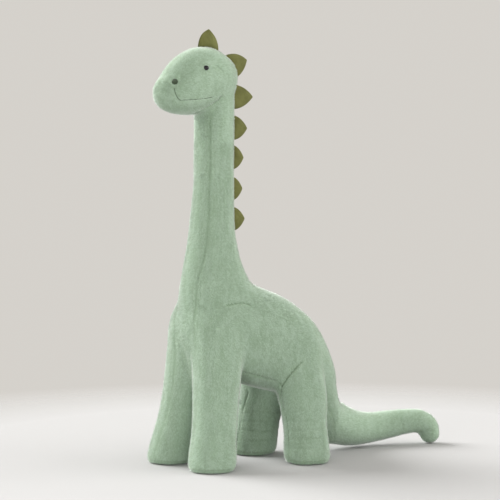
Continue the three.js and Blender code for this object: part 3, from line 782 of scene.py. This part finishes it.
def pile_tone(name, colour):
    """One tone of the pile. Its roughness varies with the lie of the tufts."""
    def finish(net, position):
        return {"Roughness": net.fitted(net.noise(position, 90), 0.3, 0.7, 0.86, 1.0)}

    return material(name, finish, {**PILE_SHEEN, "Base Color": colour})


pile_tones = [pile_tone(name, colour) for name, colour in PILE_TONES.items()]


def geometry_tree(name, sockets):
    """A geometry tree with a mesh in and out and the named inputs, and the inputs' identifiers."""
    tree = bpy.data.node_groups.new(name, "GeometryNodeTree")
    tree.interface.new_socket("Mesh", in_out="INPUT", socket_type="NodeSocketGeometry")
    tree.interface.new_socket("Mesh", in_out="OUTPUT", socket_type="NodeSocketGeometry")
    identifiers = {}
    for label, kind in sockets.items():
        made = tree.interface.new_socket(label, in_out="INPUT", socket_type="NodeSocket" + kind)
        identifiers[label] = made.identifier
    net = Net(tree)
    inputs = tree.nodes.new("NodeGroupInput")
    given = {socket.name: Socket(net, socket) for socket in inputs.outputs if socket.name}
    return net, given, identifiers


def tree_result(net, geometry):
    """Makes this geometry what the tree gives."""
    output = net.tree.nodes.new("NodeGroupOutput")
    net.tree.links.new(geometry.output, output.inputs[0])


def grown(source, name, tree, identifiers, values):
    """What a geometry tree makes from the source mesh, as a plain mesh of its own."""
    carrier = bpy.data.objects.new(name, source.data)
    bpy.context.scene.collection.objects.link(carrier)
    modifier = carrier.modifiers.new("grown", "NODES")
    modifier.node_group = tree
    for label, value in values.items():
        modifier[identifiers[label]] = value
    return finished_mesh(carrier)


def pile_tree():
    """Tufts on one patch of a mesh, each a slim cone that leans with the nap, in three tones."""
    net, given, identifiers = geometry_tree("pile", {
        "Tufts per area": "Float", "Tuft length": "Float", "Root radius": "Float",
        "Lie towards": "Vector", "Lean": "Float", "Seed": "Int", "Patch": "Int",
    })
    attribute = "GeometryNodeInputNamedAttribute"
    furrow = net.add(attribute, {"data_type": "FLOAT"}, {"Name": "furrow"})
    patch = net.add(attribute, {"data_type": "INT"}, {"Name": "patch"}, output=0)
    on_patch = net.add(
        "FunctionNodeCompare", {"data_type": "INT", "operation": "EQUAL"},
        {2: patch, 3: given["Patch"]},
    )
    scatter = net.tree.nodes.new("GeometryNodeDistributePointsOnFaces")
    for key, value in (("Mesh", given["Mesh"]), ("Selection", on_patch), ("Seed", given["Seed"]),
                       ("Density", given["Tufts per area"])):
        net.tree.links.new(value.output, scatter.inputs[key])
    tufts = Socket(net, scatter.outputs["Points"])
    upright = Socket(net, scatter.outputs["Normal"])

    def vector_math(operation, sockets, output=0):
        return net.add("ShaderNodeVectorMath", {"operation": operation}, sockets, output)

    into_cloth = vector_math("DOT_PRODUCT", {0: given["Lie towards"], 1: upright}, output=1)
    off = vector_math("SCALE", {0: upright, "Scale": into_cloth})
    flat = vector_math("SUBTRACT", {0: given["Lie towards"], 1: off})
    leaning = vector_math("SCALE", {0: flat, "Scale": given["Lean"]})
    stray = net.add(
        "FunctionNodeRandomValue", {"data_type": "FLOAT_VECTOR"},
        {0: (-0.35, -0.35, -0.35), 1: (0.35, 0.35, 0.35), "Seed": given["Seed"]},
    )
    way = vector_math("ADD", {0: vector_math("ADD", {0: upright, 1: leaning}), 1: stray})
    turned = net.add("FunctionNodeAlignRotationToVector", {"axis": "Z"}, {"Vector": way})
    kept = net.add(
        "GeometryNodeStoreNamedAttribute", {"data_type": "FLOAT_VECTOR", "domain": "POINT"},
        {"Geometry": tufts, "Name": "upright", "Value": upright},
    )
    tuft = net.add(
        "GeometryNodeMeshCone", {"fill_type": "NGON"},
        {"Vertices": 3, "Radius Top": 0.0, "Radius Bottom": given["Root radius"],
         "Depth": given["Tuft length"]},
    )
    size = net.add(
        "FunctionNodeRandomValue", {"data_type": "FLOAT"},
        {2: 0.65, 3: 1.25, "Seed": given["Seed"]}, output=1,
    )
    number = net.add("GeometryNodeInputIndex")
    chance = net.add(
        "FunctionNodeRandomValue", {"data_type": "FLOAT"},
        {2: 0.0, 3: 1.0, "ID": number, "Seed": 3}, output=1,
    )
    place = net.add("GeometryNodeInputPosition")
    combed = net.noise(net.stretched(place, (1, 1, 0.3)), 55.0, 3.0)
    # Near a seam or crease the tufts take a darker tone: painted shade.
    tone = combed * 0.60 + chance * 0.40 - furrow * 0.5
    shares = ((-9.0, TONE_SPLITS[0]), TONE_SPLITS, (TONE_SPLITS[1], 9.0))
    joined = net.tree.nodes.new("GeometryNodeJoinGeometry")
    for (low, high), look in zip(shares, pile_tones):
        chosen = (tone > low) * (tone < high) * (furrow < BARE_FURROW)
        placed = net.add(
            "GeometryNodeInstanceOnPoints", None,
            {"Points": kept, "Selection": chosen, "Instance": tuft, "Rotation": turned,
             "Scale": size},
        )
        real = net.add("GeometryNodeRealizeInstances", None, {"Geometry": placed})
        painted = net.add("GeometryNodeSetMaterial", None, {"Geometry": real, "Material": look})
        net.tree.links.new(painted.output, joined.inputs[0])
    tree_result(net, Socket(net, joined.outputs[0]))
    return net.tree, identifiers


PATCHES = ["chest", "left_flank", "right_flank", *LEGS]
LEG_PATCH_TOP = 300 * MM
LEG_PATCH_REACH = 92 * MM


def patch_of_face(middles):
    """Where on the body each face lies: the chest, a flank or a leg."""
    from_feet = middles - np.array(between_feet)
    made = np.where(from_feet[:, 0] > 0, 1, 2)
    made[(from_feet[:, 1] < -60 * MM) | (from_feet[:, 2] > 500 * MM)] = 0
    for k, (foot, knee, *_) in enumerate(LEGS.values()):
        share = np.clip(from_feet[:, 2] / (knee[2] * MM), 0, 1.4)[:, None]
        core = (np.array(foot[:2]) + (np.array(knee[:2]) - np.array(foot[:2])) * share) * MM
        near = np.linalg.norm(from_feet[:, :2] - core, axis=1) < LEG_PATCH_REACH
        made[near & (from_feet[:, 2] < LEG_PATCH_TOP)] = 3 + k
    return made


# Where the face will be sewn, which the pile leaves bare.
cloth_tree = BVHTree.FromPolygons([Vector(p) for p in cloth_points], cloth_faces)


def surface_at(origin, way):
    """Where a line from a point in the head, from its pivot in millimetres, leaves the cover."""
    start = head_place @ (Vector(origin) * MM)
    place, normal, *_ = cloth_tree.ray_cast(start, HEAD_TURN @ Vector(way))
    return place, normal


SIDES = {"left": 1, "right": -1}
EYE_FROM = (0, -91, 126)
NOSTRIL_FROM = (0, -121, 81)
NOSTRIL_TURN = math.radians(32.5)
eye_places, nostril_places = {}, {}
for side, sign in SIDES.items():
    eye_places[side] = surface_at(EYE_FROM, (sign, 0, 0))
    way = (sign * math.sin(NOSTRIL_TURN), -math.cos(NOSTRIL_TURN), 0)
    nostril_places[side] = surface_at(NOSTRIL_FROM, way)

# On each side a line of stitches runs down from the nostril and then back along the cheek, each
# point by its turn from straight ahead and its height, seen from the middle of the head.
MOUTH_FROM_Y = -100
STITCHES_PROUD = 1.6 * MM
mouth_line = [(27, 58), (27.5, 52), (28.5, 45), (30, 37), (32, 30), (35, 26)]
mouth_line += [(turn, 21.5 + 15 * turn / 118 + 4 * (turn / 118) ** 8) for turn in range(41, 123, 6)]
line_points, line_edges = [], []
for sign in (1, -1):
    for k, (turn, height) in enumerate(smooth_rows(mouth_line, 80)):
        turn = math.radians(turn) * sign
        way = (math.sin(turn), -math.cos(turn), 0)
        place, normal = surface_at((0, MOUTH_FROM_Y, height), way)
        if k:
            line_edges.append((len(line_points) - 1, len(line_points)))
        line_points.append(tuple(place + normal * STITCHES_PROUD))
EYE_BARE, NOSTRIL_BARE, MOUTH_BARE = 7 * MM, 10.5 * MM, 3.2 * MM
bare_spots = [(place, EYE_BARE) for place, _ in eye_places.values()]
bare_spots += [(place, NOSTRIL_BARE) for place, _ in nostril_places.values()]
bare_spots += [(Vector(p), MOUTH_BARE) for p in line_points]


def bare(middles):
    """Whether each point lies on a bare spot of the face."""
    found = np.zeros(len(middles), bool)
    for place, reach in bare_spots:
        found |= np.linalg.norm(middles - np.array(place), axis=1) < reach
    return found


pile_nodes, pile_inputs = pile_tree()
piles = {}
# Which way the nap lies on each part.
LIE = {"tail": (0, 1, -0.15), "head": (0, 0.9, -0.55), "body": (0, 0.25, -1)}
for seed, (name, cover) in enumerate(covers.items()):
    faces = np.array([f.center for f in cover.data.polygons])
    outer = np.array([f.use_smooth for f in cover.data.polygons])
    patches = patch_of_face(faces) if name == "body_cover" else np.zeros(len(faces), int)
    patches[~outer] = -1
    patches[bare(faces)] = -1
    if name.endswith("sole_cover"):
        facing_down = np.array([f.normal.z for f in cover.data.polygons]) < -0.6
        patches[facing_down] = -1
    stored = cover.data.attributes.new("patch", "INT", "FACE")
    stored.data.foreach_set("value", patches.astype(np.int32))
    lie = LIE.get(name.split("_")[0], LIE["body"])
    for patch in sorted(set(patches[patches >= 0])):
        where = PATCHES[patch] if name == "body_cover" else name.removesuffix("_cover")
        pile = grown(cover, where + "_pile", pile_nodes, pile_inputs, {
            "Tufts per area": float(TUFTS_PER_SQUARE_METRE), "Tuft length": TUFT_LENGTH,
            "Root radius": TUFT_ROOT, "Lie towards": lie, "Lean": 0.9,
            "Seed": seed * 10 + int(patch), "Patch": int(patch),
        })
        tips = points_of(pile.data)
        tips[:, 2] = np.maximum(tips[:, 2], 0.3 * MM)
        move_points(pile.data, tips)
        upright = triples(pile.data.attributes["upright"].data, "vector")
        shading = 0.8 * upright + 0.2 * normals_of(pile.data)
        shading /= np.maximum(np.linalg.norm(shading, axis=1), 1e-6)[:, None]
        pile.data.polygons.foreach_set("use_smooth", np.ones(len(pile.data.polygons), bool))
        pile.data.normals_split_custom_set_from_vertices([tuple(n) for n in shading])
        piles[where + "_pile"] = (pile, name)


def moved_like(piece, name):
    """Attaches a sole's piece to the body, and bakes any other piece's placing into its mesh."""
    if name.endswith("_sole_cover"):
        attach(piece, "body")
        return
    before, after, joint, way, start, end = LENGTHS[name]
    middle = joint_at(joint)
    tuple(middle + way * start * MM)
    tuple(middle + way * end * MM)
    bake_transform(piece)


for name, cover in covers.items():
    moved_like(cover, name)
    if name.endswith("_sole_cover"):
        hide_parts(name.removesuffix("_cover"))
    else:
        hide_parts(*STANDS_FOR[name])
for name, (pile, host) in piles.items():
    moved_like(pile, host)
bpy.data.objects.remove(skin)


# ---- the face ---------------------------------------------------------------------------------
# Glossy black button eyes on stems through the cloth, nostrils in dark green satin stitch, and a
# mouth of one thin dark line of stitches on each cheek.
def standing_on(place, normal):
    """A frame at a place with its z along the normal and its y as upright as it can be."""
    z = normal.normalized()
    x = Vector((0, 0, 1)).cross(z).normalized()
    y = z.cross(x)
    turn = Matrix((x, y, z)).transposed().to_4x4()
    return Matrix.Translation(place) @ turn


def eye_finish(net, position):
    """Moulded black, with the finest scuffs in its gloss."""
    scuffs = net.noise(position, 900, 4, 0.7)
    return {
        "Base Color": net.mix_colour(scuffs, (0.006, 0.006, 0.007, 1), (0.014, 0.014, 0.016, 1)),
        "Roughness": net.fitted(scuffs, 0.3, 0.7, 0.06, 0.16),
    }


eye_black = material("eye_black", eye_finish, {"Specular IOR Level": 0.35})
EYE_PROFILE = [
    (0, -6), (2, -6), (2, 0.4), (7.4, 0.4), (8.1, 1.2), (8.3, 2.2), (8.1, 3.4), (7.6, 4.6),
    (6.7, 5.8), (5.5, 6.8), (4.0, 7.5), (2.1, 7.9), (0, 8.0),
]


def turned(name, profile, place, sides=40):
    """A solid turned round its z from a profile of radius and height in millimetres."""
    points, faces = [], []
    for radius, height in profile[1:-1]:
        for turn in np.linspace(0, 2 * math.pi, sides, endpoint=False):
            points.append(Vector((radius * math.cos(turn), radius * math.sin(turn), height)) * MM)
    rows = len(profile) - 2
    for row in range(rows - 1):
        for k in range(sides):
            a, b = row * sides + k, row * sides + (k + 1) % sides
            faces.append((a, b, b + sides, a + sides))
    ends = [(profile[0][1], 0, -1), (profile[-1][1], rows - 1, 1)]
    for height, row, way in ends:
        points.append(Vector((0, 0, height * MM)))
        hub = len(points) - 1
        for k in range(sides):
            a, b = row * sides + k, row * sides + (k + 1) % sides
            faces.append((a, b, hub) if way > 0 else (b, a, hub))
    made = mesh_object(name, [place @ p for p in points], faces)
    made.data.polygons.foreach_set("use_smooth", np.ones(len(faces), bool))
    return made


for side in SIDES:
    place, normal = eye_places[side]
    eye = turned(side + "_button_eye", EYE_PROFILE, standing_on(place, normal))
    eye.data.materials.append(eye_black)
    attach(eye, "head")
    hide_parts(side + "_eye")


def thread_finish(net, position):
    """Twisted rayon thread: fine ridges that catch the light, and a slight fading."""
    ply = net.noise(net.stretched(position, (1, 1, 4)), 800, 2)
    fading = net.noise(position, 60)
    deep, light = (0.016, 0.034, 0.012, 1), (0.042, 0.076, 0.030, 1)
    return {
        "Base Color": net.mix_colour(0.5 * ply + 0.5 * fading, deep, light),
        "Roughness": net.fitted(ply, 0.3, 0.7, 0.45, 0.7),
        "Normal": net.bump(ply, 0.2 * MM),
    }


thread = material("embroidery_thread", thread_finish, {"Sheen Weight": 0.2})


def sewn(net, points, steps, start, middle, end, radius, placing):
    """Ends a tree with a stitch at every point: a thread bowed through three places."""
    bow = net.add("GeometryNodeCurveQuadraticBezier", None, {
        "Resolution": steps, "Start": net.add("ShaderNodeCombineXYZ", None, start),
        "Middle": net.add("ShaderNodeCombineXYZ", None, middle),
        "End": net.add("ShaderNodeCombineXYZ", None, end),
    })
    section = net.add(
        "GeometryNodeCurvePrimitiveCircle", None, {"Resolution": 6, "Radius": radius}
    )
    stitch = net.add(
        "GeometryNodeCurveToMesh", None,
        {"Curve": bow, "Profile Curve": section, "Fill Caps": True},
    )
    laid = net.add(
        "GeometryNodeInstanceOnPoints", None, {"Points": points, "Instance": stitch, **placing}
    )
    real = net.add("GeometryNodeRealizeInstances", None, {"Geometry": laid})
    painted = net.add("GeometryNodeSetMaterial", None, {"Geometry": real, "Material": thread})
    tree_result(net, painted)


def satin_tree():
    """Parallel stitches that fill an oval: each a thread bowed over the padding."""
    net, given, identifiers = geometry_tree("satin_stitch", {
        "Stitches": "Int", "Half width": "Float", "Half height": "Float", "Thread": "Float",
        "Rise": "Float",
    })
    row = net.add("GeometryNodeMeshLine", {"mode": "END_POINTS"}, {
        "Count": given["Stitches"],
        "Start Location": net.add("ShaderNodeCombineXYZ", None, {0: given["Half width"] * -0.93}),
        "Offset": net.add("ShaderNodeCombineXYZ", None, {0: given["Half width"] * 0.93}),
    })
    at = net.add("ShaderNodeSeparateXYZ", None, {0: net.add("GeometryNodeInputPosition")})
    share = net.add("ShaderNodeMath", {"operation": "DIVIDE"}, {0: at, 1: given["Half width"]})
    reach = (1.0 - share * share) ** 0.5
    sewn(
        net, row, 9, {1: given["Half height"] * -1.0}, {2: given["Rise"] * 2.0},
        {1: given["Half height"]}, given["Thread"],
        {"Scale": net.add("ShaderNodeCombineXYZ", None, {0: 1.0, 1: reach, 2: reach})},
    )
    return net.tree, identifiers


satin_nodes, satin_inputs = satin_tree()
for side in SIDES:
    place, normal = nostril_places[side]
    blank = mesh_object(side + "_blank", [(0, 0, 0)], [])
    nostril = grown(blank, side + "_satin_nostril", satin_nodes, satin_inputs, {
        "Stitches": 15, "Half width": 9.0 * MM, "Half height": 10.0 * MM, "Thread": 0.8 * MM,
        "Rise": 3.4 * MM,
    })
    nostril.data.transform(standing_on(place + normal * 0.6 * MM, normal))
    bpy.data.objects.remove(blank)
    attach(nostril, "head")
    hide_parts(side + "_nostril")


def running_stitch_tree():
    """Stitches end to end along an edge path, each a short thread that dips at its holes."""
    net, given, identifiers = geometry_tree("running_stitch", {
        "Stitch length": "Float", "Thread": "Float",
    })
    path = net.add("GeometryNodeMeshToCurve", None, {"Mesh": given["Mesh"]})
    even = net.add("GeometryNodeResampleCurve", {"mode": "LENGTH"}, {
        "Curve": path, "Length": given["Stitch length"],
    })
    way = net.add("GeometryNodeInputTangent")
    turned_along = net.add("FunctionNodeAlignRotationToVector", {"axis": "X"}, {"Vector": way})
    half = given["Stitch length"] * 0.56
    sewn(
        net, even, 6, {0: half * -1.0}, {2: given["Thread"] * 1.6}, {0: half}, given["Thread"],
        {"Rotation": turned_along},
    )
    return net.tree, identifiers


mouth_path = mesh_object("mouth_line", line_points, [], line_edges)
stitch_nodes, stitch_inputs = running_stitch_tree()
mouth = grown(mouth_path, "stitched_mouth", stitch_nodes, stitch_inputs, {
    "Stitch length": 4.5 * MM, "Thread": 0.75 * MM,
})
bpy.data.objects.remove(mouth_path)
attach(mouth, "head")
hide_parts("mouth_stitching")


# ---- the spikes -------------------------------------------------------------------------------
# Two leaves of olive velour sewn edge to edge, turned, lightly stuffed and sewn into the centre
# seam at the base. Their edges are flat where the seam allowance lies inside.
VELOUR_SHEEN = {
    "Sheen Weight": 0.25, "Sheen Roughness": 0.5, "Sheen Tint": (0.85, 0.86, 0.6, 1),
    "Specular IOR Level": 0.2,
}


def velour_finish(net, position):
    """Short dense pile: even, with faint brushed patches and a fine grain."""
    brushed = net.noise(position, 26, 2)
    grain = net.noise(position, 950, 3, 0.75)
    tone = net.fitted(0.5 * brushed + 0.5 * grain, 0.36, 0.64)
    edge = net.add("ShaderNodeAttribute", {"attribute_name": "edge"}, output="Fac")
    velour = net.mix_colour(tone, (0.092, 0.096, 0.025, 1), (0.160, 0.166, 0.053, 1))
    return {
        # Painted shade darkens the velour towards its base, where it meets the cover; it is also
        # darker along its rims.
        "Base Color": net.mix_colour(edge * 0.6, velour, (0.055, 0.062, 0.018, 1)),
        "Roughness": net.fitted(grain, 0.3, 0.7, 0.8, 0.98),
        "Normal": net.bump(grain, 0.5 * MM, 0.7),
    }


velour = material("spike_velour", velour_finish, VELOUR_SHEEN)
# Each spike: its base, its height, and how far its tip leans up, or forwards on the crown.
SPIKES = {
    "spike_1": (84, 60, 7), "spike_2": (82, 78, 0), "spike_3": (80, 98, 9), "spike_4": (80, 64, 0),
    "spike_5": (80, 51, 0), "spike_6": (78, 47, 0), "spike_7": (78, 54, 0),
}
LEAN_TOWARDS = Vector((0, -0.5, 1))
SPIKE_HALF_THICKNESS = 6.5
SPIKE_ROOT_DEPTH = 5 * MM
LEAF_STEPS = 26
LEAF_ROUNDNESS = 2.7


def leaf(name, base, height, lean, root, along, outward, across, seed):
    """A puffed leaf on its base line. Its foot follows the skin under it."""
    foot = {}
    for k in range(-LEAF_STEPS, LEAF_STEPS + 1):
        share = k / LEAF_STEPS
        above = root + along * share * base / 2 * MM + outward * 0.06
        hit, *_ = cloth_tree.ray_cast(above, -outward, 0.14)
        drop = (hit - root).dot(outward) if hit else -0.012
        foot[k] = drop - SPIKE_ROOT_DEPTH
    points, dark_near_base_and_rims = [], []
    rows = 30
    for side in (1, -1):
        for row in range(rows + 1):
            up = row / rows
            half = base / 2 * (1 - up**LEAF_ROUNDNESS) * MM
            for k in range(-LEAF_STEPS, LEAF_STEPS + 1):
                share = k / LEAF_STEPS
                rim = 1 - abs(share) ** 2.6
                puff = rim**0.55 * min(1.0, 0.55 + 1.4 * up) * (1 - up**4) ** 0.6
                pucker = noise.noise(Vector((share * 4.2, up * 5, seed * 3.7 + side)))
                ripple = 0.35 * math.sin(46 * up + seed) * abs(share) ** 6 * (1 - up)
                thick = SPIKE_HALF_THICKNESS * puff * (1 + 0.16 * pucker) + ripple * 0.6
                thick = max(thick, 0.5 if abs(k) < LEAF_STEPS and row < rows else 0.0)
                low = foot[k] * (1 - up) ** 2
                place = root + along * (share * half + lean * up**1.5 * MM)
                place += outward * (low + up * height * MM)
                points.append(place + across * side * thick * MM)
                # How dark each point is painted: shade towards the base, and darker near the rims.
                dark_near_base_and_rims.append(max(0.0, 1 - (1 - abs(share)) * 9, 1 - up * 3.2))
    wide = 2 * LEAF_STEPS + 1
    sheet = (rows + 1) * wide
    faces = []
    for row in range(rows):
        for k in range(wide - 1):
            a = row * wide + k
            faces.append((a, a + 1, a + wide + 1, a + wide))
            b = a + sheet
            faces.append((b, b + wide, b + wide + 1, b + 1))
    for k in range(wide - 1):
        faces.append((k + 1, k, k + sheet, k + 1 + sheet))
    made = mesh_object(name, points, faces)
    near = made.data.attributes.new("edge", "FLOAT", "POINT")
    near.data.foreach_set("value", np.array(dark_near_base_and_rims, np.float32))
    shape = bmesh.new()
    shape.from_mesh(made.data)
    bmesh.ops.remove_doubles(shape, verts=shape.verts, dist=0.05 * MM)
    bmesh.ops.dissolve_degenerate(shape, dist=0.02 * MM, edges=shape.edges)
    bmesh.ops.recalc_face_normals(shape, faces=shape.faces)
    shape.to_mesh(made.data)
    shape.free()
    made.data.polygons.foreach_set("use_smooth", np.ones(len(made.data.polygons), bool))
    return made


for number, (name, (base, height, lean)) in enumerate(SPIKES.items()):
    joint = joints[name + "_flop"]
    along = Vector(joint["axis"]).normalized()
    if along.dot(LEAN_TOWARDS) < 0:
        along = -along
    across = HEAD_TURN @ Vector((1, 0, 0)) if joint["parent"] == "head" else Vector((1, 0, 0))
    outward = along.cross(across).normalized()
    if outward.y + outward.z < 0:
        outward = -outward
    root = Vector(joint["pos_m"])
    spike = leaf(name + "_leaf", base, height, lean, root, along, outward, across, number)
    spike.data.materials.append(velour)
    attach(spike, name + "_leaf")
    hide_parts(name)


# ---- inside -----------------------------------------------------------------------------------
# The filling, the frame wires, the foot boards and the locking washers keep their own shapes.
def fibre_finish(net, position):
    """Blown polyester: white, in soft clumps."""
    clumps = net.noise(position, 60, 4, 0.7)
    return {
        "Base Color": net.mix_colour(clumps, (0.74, 0.73, 0.69, 1), (0.90, 0.89, 0.86, 1)),
        "Normal": net.bump(clumps, 3 * MM),
    }


def wire_finish(net, position):
    """Drawn steel wire with fine lines along it."""
    drawn = net.noise(net.stretched(position, (1, 1, 0.1)), 600, 2)
    return {
        "Base Color": net.mix_colour(drawn, (0.42, 0.43, 0.44, 1), (0.60, 0.61, 0.62, 1)),
        "Roughness": net.fitted(drawn, 0.3, 0.7, 0.28, 0.45),
    }


def board_finish(net, position):
    """Pressed fibre board."""
    grain = net.noise(position, 300, 3)
    return {
        "Base Color": net.mix_colour(grain, (0.66, 0.62, 0.54, 1), (0.78, 0.75, 0.68, 1)),
        "Roughness": net.fitted(grain, 0.3, 0.7, 0.5, 0.7),
    }


def washer_finish(net, position):
    """Moulded plastic with faint flow marks."""
    flow = net.noise(position, 220, 2)
    return {
        "Base Color": net.mix_colour(flow, (0.72, 0.72, 0.69, 1), (0.82, 0.82, 0.80, 1)),
        "Roughness": net.fitted(flow, 0.3, 0.7, 0.4, 0.55),
    }


inner_looks = {
    "filling": material("filling_fibre", fibre_finish, {"Sheen Weight": 0.4}),
    "wire": material("frame_wire", wire_finish, {"Metallic": 1.0}),
    "foot_board": material("foot_board", board_finish),
    "washer": material("locking_washer", washer_finish),
}
for name, node in frame["nodes"].items():
    for ending, look in inner_looks.items():
        if name.endswith(ending):
            node.data.materials.clear()
            node.data.materials.append(look)


# ---- the room ---------------------------------------------------------------------------------
# A plain pale floor that fades out around the toy, a pale surround, and window light from behind
# on the left.
FLOOR_RADIUS = 2.1
FLOOR_FADE_START = 1.25


def floor_finish(net, position):
    weave = net.noise(position, 160, 2)
    away = net.add("ShaderNodeVectorMath", {"operation": "LENGTH"}, {0: position}, output=1)
    return {
        "Alpha": net.fitted(away, FLOOR_FADE_START, FLOOR_RADIUS, 1.0, 0.0),
        "Base Color": net.mix_colour(weave, (0.450, 0.450, 0.453, 1), (0.478, 0.478, 0.481, 1)),
        "Normal": net.bump(weave, 1 * MM, 0.4),
    }


rim = [math.radians(turn) for turn in range(0, 360, 4)]
floor = mesh_object(
    "floor",
    [Vector((FLOOR_RADIUS * math.cos(t), FLOOR_RADIUS * math.sin(t), -0.5 * MM)) for t in rim],
    [tuple(range(len(rim)))],
)
floor.data.materials.append(material("pale_floor", floor_finish, {"Roughness": 0.9}))

world = bpy.data.worlds.new("surround")
world.use_nodes = True
surround = world.node_tree.nodes["Background"]
surround.inputs["Color"].default_value = (0.665, 0.640, 0.600, 1)
surround.inputs["Strength"].default_value = 1.0
bpy.context.scene.world = world
bpy.context.scene.view_settings.view_transform = "Standard"

# Each light: where it comes from, its strength and its spread in degrees.
DAYLIGHT = (1.0, 0.995, 0.985)
LIGHTS = {
    "window": ((-0.98, -0.50, 0.74), 4.6, 50),
    "second_window": ((0.60, 0.80, 0.42), 1.7, 60),
    "room": ((0.80, -0.50, 0.05), 0.62, 120),
}
for name, (source, strength, spread) in LIGHTS.items():
    light_data = bpy.data.lights.new(name, "SUN")
    light_data.energy = strength
    light_data.angle = math.radians(spread)
    light_data.color = DAYLIGHT
    light = bpy.data.objects.new(name, light_data)
    light.rotation_euler = (-Vector(source)).to_track_quat("-Z", "Y").to_euler()
    bpy.context.scene.collection.objects.link(light)

# A low soft light fills the shade under the belly and the chin.
FILL_PLACE = Vector((2.2, -2.6, 0.35))
FILL_TARGET = Vector((0.03, 0.02, 0.25))
FILL_SIZE = 1.2
FILL_WATTS = 22
fill_data = bpy.data.lights.new("low_fill", "AREA")
fill_data.size = FILL_SIZE
fill_data.energy = FILL_WATTS
fill = bpy.data.objects.new("low_fill", fill_data)
fill.location = FILL_PLACE + between_feet
fill.rotation_euler = (FILL_TARGET - FILL_PLACE).to_track_quat("-Z", "Y").to_euler()
fill.visible_camera = False
bpy.context.scene.collection.objects.link(fill)
